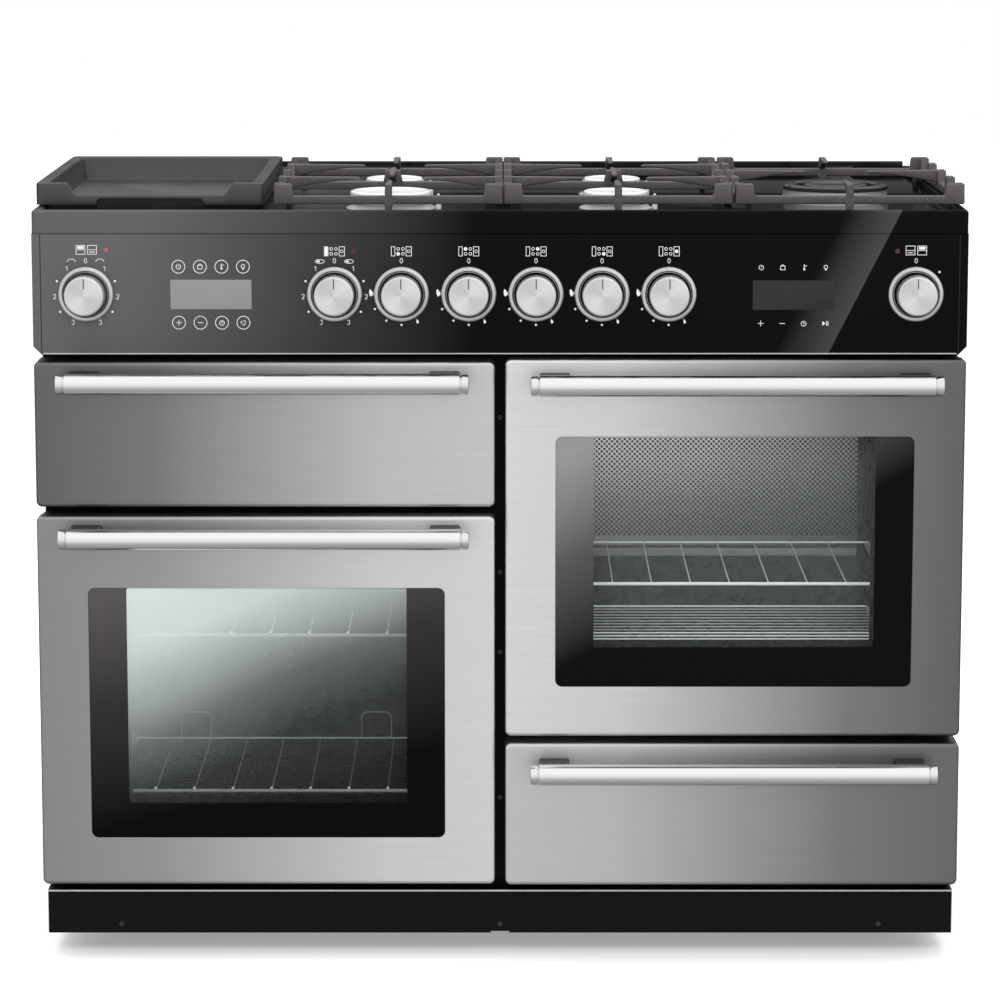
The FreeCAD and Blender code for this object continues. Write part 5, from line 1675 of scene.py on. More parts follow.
@dataclass
class Fascia(Assembly):
    """The black glass control panel with its displays and printed signs.

    Attributes:
        low: underside.
        high: top.
        thick: depth behind the doors' front plane, in millimetres.
        chamfer: size of the cut lower corners.
        edge: radius of the front edges.
        knob_z: height of the knobs' centres.
        displays: centres of the two displays.
        display_half: half width and half height of a display.
        print_out: how far the print stands out.
    """

    low: float = 735 * MM
    high: float = 877.5 * MM
    thick: float = 47.5
    chamfer: float = 10 * MM
    edge: float = 1.5 * MM
    knob_z: float = 807 * MM
    displays: tuple[Pair, ...] = (mm(-337.3, 806.4), mm(342.2, 805.5))
    display_half: Pair = mm(47.3, 17.3)
    print_out: float = 0.15 * MM

    def ring(self, inset: float, level: float) -> np.ndarray:
        """Return the outline with its lower corners cut, moved in by an inset.

        The cut moves in with the sides, so its ends shift by inset * (root 2 - 1).
        """
        half, low, top = self.layout.half - inset, self.low + inset, self.high - inset
        cut = self.chamfer - inset * (2 - math.sqrt(2))
        outline = np.array([(half, low + cut), (half, top), (-half, top), (-half, low + cut),
                            (-half + cut, low), (half - cut, low)])
        return lifted(outline, Axis.Y, level)

    def build(self) -> None:
        """Build the panel, the displays and the print."""
        face, turn = self.layout.face, np.linspace(0.0, math.pi / 2, 5)
        rings = [self.ring(0.0, self.layout.deep(self.thick))]
        rings += [self.ring(self.edge * (1 - math.cos(a)), face + self.edge * (1 - math.sin(a)))
                  for a in turn]
        self.piece("fascia_glass", loft(np.array(rings)), self.finishes.fascia, "black_glass",
                   replaces=["control_fascia"])
        self.build_displays()
        self.build_print()

    def build_displays(self) -> None:
        """Build the two display faces, the left one lit and the right one dark."""
        finishes = (self.finishes.display, self.finishes.dark_display)
        for side, (x, z), finish in zip(("left", "right"), self.displays, finishes):
            wide, high = self.display_half
            plate = block((x - wide, x + wide), (z - high, z + high),
                          (self.layout.face - self.print_out, self.layout.deep(1)), Axis.Y,
                          1.0 * MM, 0.1 * MM)
            self.piece(f"{side}_display", plate, finish, "black_glass")

    def build_print(self) -> None:
        """Build the printed signs in white, and the two neon lamps in red."""
        sheet = Print(self.layout.face - self.print_out, self.layout.deep(0.5))
        lamps = Print(self.layout.face - 0.5 * MM, self.layout.deep(0.5))
        level = self.knob_z
        for name, x in KNOB_PLACES.items():
            sheet.digit(0, x * MM, level + 39 * MM)
        grill, griddle, proving = (KNOB_PLACES[name] * MM for name in
                                   ("grill_knob", "griddle_knob", "proving_knob"))
        for x in (grill, griddle):
            self.heat_scale(sheet, x, level)
        self.split_square(sheet, grill - 5.7 * MM, level + 51.8 * MM, True)
        self.split_square(sheet, grill + 7.8 * MM, level + 51.8 * MM, False)
        self.split_square(sheet, proving - 6.8 * MM, level + 51 * MM, False)
        self.split_square(sheet, proving + 6.8 * MM, level + 51 * MM, True)
        sheet.disc((proving + 27.4 * MM, level + 25.8 * MM), 1.3 * MM)
        for side in (-1, 1):
            x, z, wide = grill + side * 16.6 * MM, level + 39.4 * MM, 5 * MM
            sheet.stroke([(x + wide * (share - 1), z + 1.5 * MM * (1 if share % 2 else -1))
                          for share in (0, 0.5, 1, 1.5, 2)])
            x = griddle + side * 17 * MM
            sheet.arc((x, z - 1.2 * MM), mm(5.3, 2.2))
            sheet.bar((x - 3.5 * MM, x), (z - 2.2 * MM, z - 0.2 * MM))
        lamps.disc((grill + 23.8 * MM, level + 51.6 * MM), 2.9 * MM)
        unlit = Print(self.layout.face - 0.5 * MM, self.layout.deep(0.5))
        unlit.disc((griddle + 22.6 * MM, level + 50.3 * MM), 2.9 * MM)
        unlit.disc((proving - 21.9 * MM, level + 50.2 * MM), 2.9 * MM)
        self.piece("fascia_unlit_neons", unlit.surface(), self.finishes.dim_neon, "black_glass")
        signs = {"griddle_knob": HobSign.GRIDDLE, "front_left_burner_knob": HobSign.FRONT_LEFT,
                 "rear_left_burner_knob": HobSign.REAR_LEFT,
                 "rear_right_burner_knob": HobSign.REAR_RIGHT,
                 "front_right_burner_knob": HobSign.FRONT_RIGHT, "wok_burner_knob": HobSign.WOK}
        for name, filled in signs.items():
            x = KNOB_PLACES[name] * MM
            self.hob_picture(sheet, x, level + 50 * MM, filled)
            if filled is not HobSign.GRIDDLE:
                self.gas_scale(sheet, x, level)
        self.touch_signs(sheet)
        seams = Print(self.layout.face - 0.05 * MM, self.layout.deep(0.5))
        for x in mm(-536, 536):
            seams.bar((x - 0.5 * MM, x + 0.5 * MM), (self.low + 2 * MM, self.high - 1 * MM))
        self.piece("fascia_seams", seams.surface(), self.finishes.seam, "black_glass")
        # a thin grey strip painted as the highlight along the fascia's lower lip
        edge = Print(self.layout.face - 0.05 * MM, self.layout.deep(0.5))
        half = self.layout.half - self.chamfer - 2 * MM
        edge.bar((-half, half), (self.low + 1.2 * MM, self.low + 2.4 * MM))
        self.piece("fascia_lower_lip_highlight", edge.surface(), self.finishes.highlight_trim, "black_glass")
        self.piece("fascia_print", sheet.surface(), self.finishes.print, "black_glass")
        self.piece("fascia_neons", lamps.surface(), self.finishes.neon, "black_glass")

    def heat_scale(self, sheet: Print, x: float, z: float) -> None:
        """Print 1, 2 and 3 with dots between them, down both sides of a knob."""
        radius = 37 * MM
        for side in (-1, 1):
            for degrees, value in ((36.5, 1), (66, None), (95, 2), (124.5, None), (154.5, 3)):
                angle = math.radians(degrees)
                place = (x + side * radius * math.sin(angle), z + radius * math.cos(angle))
                if value is None:
                    sheet.disc(place, 1.3 * MM)
                else:
                    sheet.digit(value, *place)

    def gas_scale(self, sheet: Print, x: float, z: float) -> None:
        """Print a large flame, three dots and a small flame round a gas knob."""
        sheet.flame(x - 35.9 * MM, z + 1.5 * MM, 9 * MM)
        for off_x, off_z in ((-31.1, -17.8), (-17.8, -31.4), (0, -36.4)):
            sheet.disc((x + off_x * MM, z + off_z * MM), 1.3 * MM)
        sheet.flame(x + 18.4 * MM, z - 32.2 * MM, 5.5 * MM)

    def split_square(self, sheet: Print, x: float, z: float, filled: bool) -> None:
        """Print a square parted in two, with its lower strip filled or two lines in it."""
        half = 5.2 * MM
        sheet.outline((x - half, x + half), (z - half, z + half))
        sheet.bar((x - half, x + half), (z - 0.3 * MM, z + 0.3 * MM))
        if filled:
            sheet.bar((x - half * 0.7, x + half * 0.7), (z + 0.22 * half, z + 0.8 * half))
        else:
            sheet.bar((x - half * 0.6, x + half * 0.6), (z - 0.6 * half, z - 0.42 * half))

    def hob_picture(self, sheet: Print, x: float, z: float, filled: HobSign) -> None:
        """Print the small picture of the hob: a griddle, four rings and the wok zone."""
        high, ring = 5.4 * MM, 1.6 * MM
        sheet.outline((x - 11.6 * MM, x - 7.4 * MM), (z - high, z + high))
        sheet.outline((x + 5.6 * MM, x + 11.8 * MM), (z - high, z + high))
        spots = {HobSign.FRONT_LEFT: (-3.6, -2.9), HobSign.REAR_LEFT: (-3.6, 2.9),
                 HobSign.REAR_RIGHT: (1.9, 2.9), HobSign.FRONT_RIGHT: (1.9, -2.9),
                 HobSign.WOK: (8.7, 0)}
        if filled is HobSign.GRIDDLE:
            sheet.bar((x - 11 * MM, x - 8 * MM), (z - high, z + high))
        for item, (off_x, off_z) in spots.items():
            spot = (x + off_x * MM, z + off_z * MM)
            if item is filled:
                sheet.disc(spot, ring * 1.3)
            else:
                sheet.arc(spot, (ring, ring), line=0.6 * MM)

    def touch_signs(self, sheet: Print) -> None:
        """Print the four signs above and below each display; the left ones have rings."""
        above = (Mark.POWER, Mark.CUBE, Mark.HEAT, Mark.LAMP)
        below = (Mark.PLUS, Mark.MINUS, Mark.TIMER)
        for (centre, z), last, ringed_signs in zip(self.displays, (Mark.FAN, Mark.PLAY), (True, False)):
            for row, marks in ((z + 32.6 * MM, above), (z - 33.2 * MM, below + (last,))):
                for number, mark in enumerate(marks):
                    x = centre + (number - 1.5) * 25.1 * MM
                    sheet.sign(mark, x, row, 6.6 * MM)
                    if ringed_signs:
                        sheet.arc((x, row), mm(7.6, 7.6), line=0.7 * MM)


KNOB_PLACES = {
    "grill_knob": -483.0, "griddle_knob": -193.0, "front_left_burner_knob": -115.0,
    "rear_left_burner_knob": -36.5, "rear_right_burner_knob": 42.0,
    "front_right_burner_knob": 119.0, "wok_burner_knob": 197.0, "proving_knob": 485.0,
}


@dataclass
class Knobs(Assembly):
    """Eight spun metal knobs with their bezels.

    Attributes:
        z: height of the centres.
        cap: radius of a knob.
        out: how far a knob stands out in front of the doors' front plane.
        base: how far out its rear is.
        bezel: outer radius of a bezel.
        bore: inner radius of a bezel.
        bezel_out: how far a bezel stands out.
    """

    z: float = 807 * MM
    cap: float = 23.5 * MM
    out: float = 27 * MM
    base: float = 5 * MM
    bezel: float = 32.5 * MM
    bore: float = 25 * MM
    bezel_out: float = 6 * MM

    def build(self) -> None:
        """Build all bezels in one piece, and each knob with its line."""
        bezels, steps = [], []
        for name, x in KNOB_PLACES.items():
            centre = (x * MM, self.layout.face, self.z)
            bore, bezel, out = self.bore, self.bezel, self.bezel_out
            bezels.append(turned_ring([
                (bore + 2 * MM, -0.5 * MM), (bezel - 0.6 * MM, -0.5 * MM), (bezel, 0.6 * MM),
                (bezel, out - 2.6 * MM), (bezel - 0.9 * MM, out - 0.8 * MM), (bezel - 2.2 * MM, out),
                (bore + 2.9 * MM, out), (bore + 2 * MM, out - 1 * MM)], centre, Axis.Y, -1.0))
            steps.append(turned_ring([
                (bore, -0.5 * MM), (bore + 1.5 * MM, -0.5 * MM), (bore + 1.5 * MM, out - 2.6 * MM),
                (bore + 0.7 * MM, out - 1.6 * MM), (bore, out - 2.6 * MM)], centre, Axis.Y, -1.0))
            self.build_knob(name, centre)
        self.piece("knob_bezel_rings", merged(bezels), self.finishes.bezel, "satin_alu",
                   replaces=["knob_bezels"])
        self.piece("knob_bezel_steps", merged(steps), self.finishes.chrome, "satin_alu")

    def build_knob(self, name: str, centre: Point) -> None:
        """Build one knob and the line on its face."""
        cap, out, base = self.cap, self.out, self.base
        profile = [(0.0, base), (cap - 1 * MM, base), (cap - 0.2 * MM, base + 0.6 * MM),
                   (cap, base + 1.6 * MM), (cap - 0.2 * MM, out - 2.2 * MM),
                   (cap - 0.5 * MM, out - 1.1 * MM), (cap - 1.1 * MM, out - 0.4 * MM),
                   (cap - 2.1 * MM, out), (cap - 3 * MM, out), (0.0, out)]
        self.piece(f"{name}_cap", turned(profile, centre, Axis.Y, -1.0, 96), self.finishes.spun,
                   "satin_alu", name, [name])
        line = block((centre[0] - 0.7 * MM, centre[0] + 0.7 * MM),
                     (centre[2] + 8.5 * MM, centre[2] + 20.5 * MM),
                     (centre[1] - out - 0.12 * MM, centre[1] - out + 1 * MM), Axis.Y, 0.4 * MM,
                     0.05 * MM, 1, 2)
        self.piece(f"{name}_line", line, self.finishes.index, "black_plastic", name)


# ------------------------------------------------------------------------------------ fronts


@dataclass
class Handle:
    """One bar handle: its node, body, middle and height in millimetres."""

    name: str
    body: str
    x: float
    z: float


@dataclass
class Fronts(Assembly):
    """The two doors, the grill's and the drawer's fronts, and the four bar handles.

    Attributes:
        left: X span of the left fronts, in millimetres.
        right: X span of the right fronts.
        thick: depth of the closed fronts.
        sheet: thickness of the door skins.
        skin_return: depth of the door skins' folded sides.
        corner: radius of the corners.
        edge: radius of the rolled front edges.
        glass_half: half width of the glass.
        clear_half: half width of its clear part.
        glass: thickness of the glass.
        bar_out: distance of a handle's bar in front of the fronts.
        bar_radius: its radius.
        bar_half: half of a handle's length.
        end: length of an end cap.
        hinge: distance of a door's hinge arms from its middle.
        notch_half: half width of the notches for the hinge arms in a door's lower fold.
    """

    left: Span = (-546, -6)
    right: Span = (6, 546)
    thick: float = 44
    sheet: float = 1.5
    skin_return: float = 20
    corner: float = 7
    edge: float = 4.5
    glass_half: float = 210.5
    clear_half: float = 165.5
    glass: float = 4
    bar_out: float = 40
    bar_radius: float = 12.5
    bar_half: float = 240
    end: float = 9
    hinge: float = 235
    notch_half: float = 5

    def build(self) -> None:
        """Build the four fronts and their handles."""
        self.build_front("grill_front", "grill_drawer", self.left, (554, 727))
        self.build_front("proving_front", "proving_drawer", self.right, (95, 269))
        self.build_door("main", self.left, (96, 543.5), (154, 457), (195.6, 457.5))
        self.build_door("second", self.right, (277.5, 730), (338, 638), (385.5, 638.5))
        for handle in (Handle("grill_handle", "grill_drawer", -276, 706),
                       Handle("main_door_handle", "main_door", -276, 523),
                       Handle("second_door_handle", "second_door", 275.5, 704),
                       Handle("proving_handle", "proving_drawer", 275.5, 241)):
            self.build_handle(handle)

    def rolled(self, across: Span, up: Span, depth: float) -> list[np.ndarray]:
        """Return the rings of a front from its rear outer edge over its rolled edge to its face.

        Args:
            across: X span in millimetres.
            up: Z span in millimetres.
            depth: how deep its sides are.

        Returns:
            Rings whose inset is edge * (1 - cos a) and depth edge * (1 - sin a), after a straight side.
        """
        turn = np.linspace(0.0, math.pi / 2, 7)
        stations = [(0.0, depth), (0.0, self.edge + 1)]
        stations += [(self.edge * (1 - math.cos(a)), self.edge * (1 - math.sin(a))) for a in turn]
        stations.append((self.edge + 0.6, 0.0))
        return [self.ring(across, up, inset, deep) for inset, deep in stations]

    def ring(self, across: Span, up: Span, inset: float, deep: float,
             corner: float | None = None) -> np.ndarray:
        """Return one rounded ring, moved in by an inset, at a depth; all in millimetres."""
        radius = max((self.corner if corner is None else corner) - inset, 1.5)
        outline = rounded_outline(mm(across[0] + inset, across[1] - inset),
                                  mm(up[0] + inset, up[1] - inset), radius * MM, 8)
        return lifted(outline, Axis.Y, self.layout.deep(deep))

    def build_front(self, node: str, body: str, across: Span, up: Span) -> None:
        """Build a closed front."""
        rings = self.rolled(across, up, self.thick)
        self.piece(f"{node}_sheet", loft(np.array(rings)), self.finishes.fronts[node],
                   "brushed_steel", body, [node])

    def build_door(self, name: str, across: Span, up: Span, glass_z: Span, clear_z: Span) -> None:
        """Build one door's skin, the black border of its glass, its clear pane and its inner pane.

        Args:
            name: the start of the nodes' names.
            across: X span in millimetres.
            up: Z span.
            glass_z: Z span of the glass.
            clear_z: Z span of its clear part.
        """
        body, middle = f"{name}_door", (across[0] + across[1]) / 2
        opening = (middle - self.glass_half, middle + self.glass_half)
        rings = self.rolled(across, up, self.skin_return)
        rings += [self.ring(opening, glass_z, inset, deep, 8)
                  for inset, deep in ((-0.9, 0.0), (-0.5, 0.0), (-0.1, 0.4), (0.0, self.sheet))]
        rings += [self.ring(across, up, self.sheet + self.edge * 0.4, self.sheet + 0.2),
                  self.ring(across, up, self.sheet, self.edge + 1),
                  self.ring(across, up, self.sheet, self.skin_return)]
        sheet = self.piece(f"{name}_door_sheet", ringed(np.array(rings)), self.finishes.fronts[body],
                           "brushed_steel", body, [f"{name}_door_skin"])
        cut_away(sheet, merged([block(
            mm(x - self.notch_half, x + self.notch_half),
            self.layout.span(2 * self.sheet, self.skin_return + 2),
            mm(up[0] - 2, up[0] + 2 * self.sheet), Axis.Z, 0.2 * MM, 0.1 * MM, 1, 1)
            for x in (middle - self.hinge, middle + self.hinge)]))
        clear = (middle - self.clear_half, middle + self.clear_half)
        lap, front, rear = 6.0, self.sheet, self.sheet + self.glass
        border = [self.ring(opening, glass_z, inset, deep, 8)
                  for inset, deep in ((-lap, rear), (-lap, front), (-lap + 1, front))]
        border += [self.ring(clear, clear_z, inset, deep, 2)
                   for inset, deep in ((-0.4, front), (0.0, front), (0.0, rear))]
        finish = self.finishes.main_border if name == "main" else self.finishes.second_border
        self.piece(f"{name}_door_glass_border", ringed(np.array(border)), finish, "door_glass",
                   body, [f"{name}_door_glass"])
        clear_finish = self.finishes.main_window if name == "main" else self.finishes.second_window
        pane = loft(np.array([self.ring(clear, clear_z, -0.2, deep, 4)
                              for deep in (front + 0.05, rear - 0.05)]))
        self.piece(f"{name}_door_window", pane, clear_finish, "door_glass", body)
        inner = loft(np.array([self.ring(opening, glass_z, -lap, deep, 8)
                               for deep in (self.thick - 5.5, self.thick - 1.5)]))
        self.piece(f"{name}_door_inner_pane", inner, self.finishes.inner_glass, "door_glass", body)

    def build_handle(self, handle: Handle) -> None:
        """Build one handle: bar, two end caps and two brackets."""
        x, z, out = handle.x * MM, handle.z * MM, self.layout.deep(-self.bar_out)
        half, end, radius = self.bar_half * MM, self.end * MM, self.bar_radius * MM
        bar_end = half - end - 1.2 * MM
        soft = 0.6 * MM
        bar = turned([(0.0, -bar_end), (radius - soft, -bar_end), (radius, -bar_end + soft),
                      (radius, bar_end - soft), (radius - soft, bar_end), (0.0, bar_end)],
                     (x, out, z), Axis.X, steps=48)
        self.piece(f"{handle.name}_bar", bar.bare(), self.finishes.satin,
                   "satin_alu", handle.body, [handle.name])
        cap_radius, neck = radius - 0.75 * MM, radius - 2.4 * MM
        profile = [(0.0, bar_end - 0.5 * MM), (neck, bar_end - 0.5 * MM), (neck, half - end),
                   (cap_radius - 0.5 * MM, half - end), (cap_radius, half - end + 0.5 * MM),
                   (cap_radius, half - 2.2 * MM), (cap_radius - 0.7 * MM, half - 0.8 * MM),
                   (cap_radius - 2.4 * MM, half), (0.0, half)]
        ends = merged([turned(profile, (x, out, z), Axis.X, side, 48) for side in (-1.0, 1.0)])
        self.piece(f"{handle.name}_ends", ends.bare(), self.finishes.chrome,
                   "chrome", handle.body)
        self.piece(f"{handle.name}_brackets", merged([self.bracket(handle, side) for side in (-1, 1)]),
                   self.finishes.bracket, "black_plastic", handle.body)

    def bracket(self, handle: Handle, side: int) -> Surface:
        """Return one bracket: rounded sections that narrow a little from the front to the bar."""
        middle = handle.x + side * (self.bar_half - 11 - 18)
        rings = []
        for deep, wide, high in ((0.5, 18, 10), (-1.0, 18, 10), (-2.0, 17.4, 9.4), (-26, 16.6, 8.8),
                                 (-29.5, 16.6, 8.8), (-31.5, 16, 8)):
            outline = rounded_outline(mm(middle - wide, middle + wide),
                                      mm(handle.z - high, handle.z + high), 3 * MM, 5)
            rings.append(lifted(outline, Axis.Y, self.layout.deep(deep)))
        return loft(np.array(rings))


# ------------------------------------------------------------------------------------ ovens


@dataclass
class OvenInsides(Assembly):
    """The wire shelves and side racks of both ovens, and the right oven's sheet; in millimetres.

    Attributes:
        front: how far behind the doors' front plane the shelves start.
        rear: how far behind they end.
        half: half distance between a shelf's side rods.
        wall: half of an oven's inner width.
        bar: radius of the frame rods.
        wire: radius of the thin wires.
        pitch: distance of the wires that run from front to rear.
        fine_pitch: distance of the wires that run across.
        beyond: how far the racks' posts reach past the lowest and the highest shelf.
        hook: how far a rack's rail lies under its shelf, and inside its posts.
        post: radius of the posts.
        rail: radius of the rails.
        sheet_half: half width of the perforated sheet.
        sheet_z: its span in height.
        flange_z: the flange's span in height.
    """

    front: float = 66
    rear: float = 330
    half: float = 192
    wall: float = 205
    bar: float = 1.9
    wire: float = 1.0
    pitch: float = 46.8
    fine_pitch: float = 17.5
    beyond: float = 42
    hook: float = 6
    post: float = 2.5
    rail: float = 2
    sheet_half: float = 188
    sheet_z: Span = (424, 642)
    flange_z: Span = (411, 421)

    def build(self) -> None:
        """Build the shelves of both ovens and the perforated sheet."""
        self.build_oven("main_oven", -276, (194, 386), (False, False))
        self.build_oven("second_oven", 275.5, (366, 449), (True, False))
        self.build_sheet(275.5)

    def line(self, start: Sequence[float], end: Sequence[float], radius: float) -> Surface:
        """Return a rod between two points of X, distance behind the front plane and Z."""
        first, last = ((x * MM, self.layout.deep(deep), z * MM) for x, deep, z in (start, end))
        return rod(first, last, radius * MM)

    def build_oven(self, name: str, centre: float, heights: Sequence[float],
                   crosswise: Sequence[bool]) -> None:
        """Build one oven's shelves and racks.

        Args:
            name: start of the node's name.
            centre: X of the oven's middle.
            heights: heights of its shelves.
            crosswise: whether each shelf's wires run across.
        """
        lit, plain, beads = [], [], []
        ball = [mm(0, -1.6), mm(1.1, -1.1), mm(1.6, 0), mm(1.1, 1.1), mm(0, 1.6)]
        lamp_reach = 6  # the wires this near to the front lie in the oven lamp's light
        for z, across in zip(heights, crosswise):
            low, high = centre - self.half, centre + self.half
            lit.append(self.line((low, self.front, z), (high, self.front, z), self.bar))
            lit.append(self.line((low, self.rear, z), (high, self.rear, z), self.bar * 0.6))
            plain += [self.line((x, self.front, z), (x, self.rear, z), self.bar) for x in (low, high)]
            if across:
                places = np.arange(self.front + self.fine_pitch, self.rear - 5, self.fine_pitch)
                lit += [self.line((low, y, z), (high, y, z), self.wire) for y in places[:lamp_reach]]
                plain += [self.line((low, y, z), (high, y, z), self.wire) for y in places[lamp_reach:]]
                continue
            for step in range(-4, 5):
                x = centre + step * self.pitch
                plain.append(self.line((x, self.front, z), (x, self.rear, z), self.wire * 0.8))
                beads.append(turned(ball, (x * MM, self.layout.deep(self.front), (z + 3.6) * MM),
                                    Axis.Z, steps=10))
        plain += self.racks(centre, heights)
        node = f"{name}_shelves"
        if name == "main_oven":
            plain += [self.stop_loop(x, heights[0]) for x in (-389, -158)]
            self.piece(f"{node}_beads", merged(beads).bare(),
                       self.finishes.bead_highlight, "chrome")
        self.piece(f"{node}_wires", merged(plain), self.finishes.shelf, "chrome", replaces=[node])
        self.piece(f"{node}_bars", merged(lit), self.finishes.lit_wire, "chrome")

    def stop_loop(self, x: float, z: float) -> Surface:
        """Return a rounded wire loop that stands at a shelf's rear and stops dishes there."""
        half, below, above = 19, 12, 34
        outline = rounded_outline((x - half, x + half), (z - below, z + above), 8, 6)
        upper = outline[:14]
        whole = np.vstack([[(x + half, z)], upper, [(x - half, z)]])
        deep = np.full(len(whole), self.layout.deep(self.rear))
        return pipe(np.stack([whole[:, 0] * MM, deep, whole[:, 1] * MM], axis=1), self.wire * MM, 8)

    def racks(self, centre: float, heights: Sequence[float]) -> list[Surface]:
        """Return both side racks: two posts and a rail under each shelf on each side."""
        rods = []
        low, high = heights[0] - self.beyond, heights[-1] + self.beyond
        for side in (-1, 1):
            x = centre + side * (self.wall - self.post - 1)
            inner = x - side * self.hook
            for y in (self.front + self.pitch, self.rear - self.pitch):
                rods.append(self.line((x, y, low), (x, y, high), self.post))
                rods += [self.line((x, y, z - self.hook), (inner, y, z - self.hook), self.rail)
                         for z in heights]
            rods += [self.line((inner, self.front, z - self.hook), (inner, self.rear, z - self.hook),
                               self.rail) for z in heights]
        return rods

    def build_sheet(self, centre: float) -> None:
        """Build the perforated sheet in front of the right oven's fan, and its lower flange."""
        across = mm(centre - self.sheet_half, centre + self.sheet_half)
        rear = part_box("fan_baffles")[0].y
        sheet = block(across, mm(*self.sheet_z), (rear - 1.2 * MM, rear - 0.2 * MM), Axis.Y,
                      2 * MM, 0.3 * MM)
        self.piece("second_oven_perforated_sheet", sheet, self.finishes.perforated, "oven_enamel")
        flange = block(across, mm(*self.flange_z), (rear - 7 * MM, rear - 0.2 * MM), Axis.Y,
                       2 * MM, 1 * MM)
        self.piece("second_oven_sheet_flange", flange, self.finishes.highlight_trim, "oven_enamel")


# ------------------------------------------------------------------------------------ carcass


@dataclass
class Carcass(Assembly):
    """What the frame's own nodes show: the plinth's edge, the panels, the ovens and the shelves.

    Attributes:
        plinth_half: half width of the plinth.
        plinth_top: its top.
        plinth_deep: how far it is set back, in millimetres.
    """

    plinth_half: float = 543 * MM
    plinth_top: float = 83.4 * MM
    plinth_deep: float = 22

    def build(self) -> None:
        """Give each kept node its finish and add a strip with a painted highlight along the plinth's
        upper edge.
        """
        slots = node_slots()
        for name, node in frame_nodes().items():
            finish = self.finishes.slots[slots[name]]
            if name == "screws":
                finish = self.finishes.bracket
            for entry in node.material_slots:
                entry.material = finish
        LOG.info("dressed %d nodes of the frame", len(slots))
        deep = self.layout.deep(self.plinth_deep)
        # a thin pale strip: painted highlight along the plinth's upper edge
        edge = block((-self.plinth_half, self.plinth_half), (deep - 0.8 * MM, deep + 2 * MM),
                     (self.plinth_top - 2.2 * MM, self.plinth_top), Axis.Z, 0.8 * MM, 0.7 * MM)
        self.piece("plinth_upper_edge_highlight", edge, self.finishes.highlight_trim, "black_enamel")


def frame_nodes() -> dict[str, bpy.types.Object]:
    """Return the frame's objects by node name."""
    return FRAME["nodes"]


def node_slots() -> dict[str, str]:
    """Return the record's material slot of each node."""
    return {part["node"]: part["material_slot"] for part in FRAME["record"]["subparts"]}


# ------------------------------------------------------------------------------------ studio


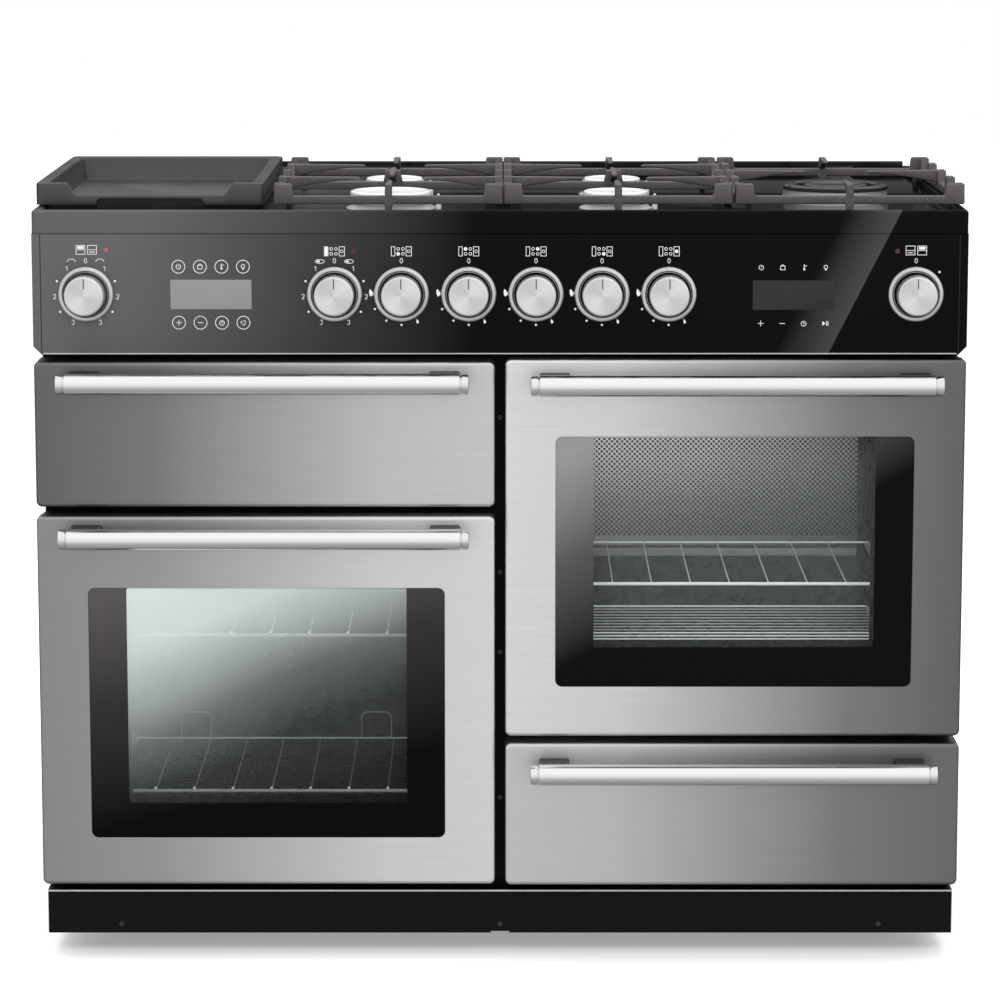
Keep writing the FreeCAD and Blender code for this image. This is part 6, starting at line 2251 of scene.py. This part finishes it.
@dataclass
class Studio:
    """Pale floor, soft lights, and the camera.

    Attributes:
        layout: the cooker's planes.
        camera_back: distance of the camera in front of the doors.
        camera_high: its height.
        pitch: how far it looks down, in degrees.
        lens: its focal length in millimetres on a 36 mm sensor.
        shift: its vertical shift.
        front_sky: heights of a direction and the world's grey there, towards the camera.
        back_sky: the same away from the camera.
        turnover: share of a direction to the front and the back where one sky turns into the other.
    """

    layout: Layout
    camera_back: float = 4.2
    camera_high: float = 1.319
    pitch: float = 8.31
    lens: float = 130.5
    shift: float = -0.12
    front_sky: tuple[Pair, ...] = ((-1.0, 0.30), (-0.5, 0.50), (-0.1, 0.84),
                                                  (0.05, 0.84), (0.3, 0.95), (0.6, 1.0), (1.0, 1.0))
    back_sky: tuple[Pair, ...] = ((-1.0, 0.25), (-0.3, 0.15), (0.0, 0.02),
                                                 (0.14, 0.04), (0.35, 0.5), (0.6, 1.0), (1.0, 1.0))
    turnover: float = 0.3

    def build(self) -> None:
        """Build the camera, the floor, the world and the lights."""
        self.build_camera()
        self.build_floor()
        self.build_world()
        self.build_lights()
        bpy.context.scene.view_settings.view_transform = "Standard"

    def build_camera(self) -> None:
        """Put the camera at the photograph's angle."""
        data = bpy.data.cameras.new("camera")
        data.lens, data.sensor_width, data.shift_y = self.lens, 36.0, self.shift
        camera = bpy.data.objects.new("camera", data)
        camera.location = (0.0, self.layout.face - self.camera_back, self.camera_high)
        camera.rotation_euler = (math.radians(90 - self.pitch), 0.0, 0.0)
        bpy.context.scene.collection.objects.link(camera)
        bpy.context.scene.camera = camera

    def build_floor(self) -> None:
        """Lay a near-white floor."""
        half = 12.0
        mesh = bpy.data.meshes.new("floor")
        mesh.from_pydata([(-half, -half, 0), (half, -half, 0), (half, half, 0), (-half, half, 0)],
                         [], [(0, 1, 2, 3)])
        nodes = Nodes("pale floor")
        soft = nodes.noise(0.6, 2.0)
        nodes.feed("Base Color", nodes.ramp(soft, greys((0.3, 0.93), (0.7, 0.96))))
        nodes.set(Roughness=0.9, Emission_Color=(1.0, 1.0, 1.0, 1.0), Emission_Strength=0.25)
        mesh.materials.append(nodes.material)
        floor = bpy.data.objects.new("floor", mesh)
        bpy.context.scene.collection.objects.link(floor)
        floor.visible_glossy = False

    def build_world(self) -> None:
        """Make the background white for the camera, and graded by direction for all else."""
        world = bpy.data.worlds.new("studio")
        bpy.context.scene.world = world
        world.use_nodes = True
        tree = Tree(world.node_tree)
        background = tree.tree.nodes["Background"]
        ray = tree.parts(tree.add("TexCoord").outputs["Generated"])
        front, back = (self.graded(tree, ray["Z"], stops) for stops in (self.front_sky, self.back_sky))
        side = tree.spread(ray["Y"], 0.0, 1.0, -self.turnover, self.turnover)
        sky = tree.blend(front, back, "MIX", side)
        white = tree.add("RGB").outputs[0]
        white.default_value = (1.0, 1.0, 1.0, 1.0)
        seen = tree.blend(sky, white, "MIX", tree.add("LightPath").outputs["Is Camera Ray"])
        tree.link(seen, background.inputs["Color"])
        background.inputs["Strength"].default_value = 1.0

    def graded(self, tree: Tree, height: Socket,
               stops: Pairs) -> Socket:
        """Return a grey that follows a direction's height, by stops of height and value."""
        share = tree.spread(height, 0.0, 1.0, -1.0, 1.0)
        return tree.ramp(share, greys(*(((level + 1) / 2, value) for level, value in stops)))

    def build_lights(self) -> None:
        """Hang two soft lights that show in no reflection, and a faint one in each oven."""
        face, high = self.layout.face, 2.6
        self.area("top light", (0.0, face + 0.2, high), turn=0.0, size=(2.6, 1.6), power=50)
        self.area("front light", (0.0, face - 3.4, high), turn=50.0, size=(3.6, 1.0), power=70)
        for x, z in ((-0.276, 0.44), (0.2755, 0.62)):
            self.area("oven light", (x, self.layout.deep(120), z), turn=0.0, size=(0.25, 0.10),
                      power=0.5)

    def area(self, name: str, place: Point, turn: float, size: Pair,
             power: float) -> None:
        """Add a rectangular light that shines down before it is turned about X, in degrees."""
        data = bpy.data.lights.new(name, "AREA")
        data.shape, data.size, data.size_y, data.energy = "RECTANGLE", *size, power
        light = bpy.data.objects.new(name, data)
        light.location = place
        light.rotation_euler = (math.radians(turn), 0.0, 0.0)
        light.visible_glossy = False
        bpy.context.scene.collection.objects.link(light)


# ------------------------------------------------------------------------------------ scene


def main() -> None:
    """Build every assembly in order."""
    logging.basicConfig(level=logging.INFO, format="%(message)s")
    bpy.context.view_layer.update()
    layout, finishes = Layout.read(), Finishes()
    for assembly in (Carcass, Hob, PanSupports, Griddle, Fascia, Knobs, Fronts, OvenInsides):
        assembly(layout, finishes).build()
        LOG.info("built %s", assembly.__name__)
    Studio(layout).build()


if __name__ == "__main__":
    main()
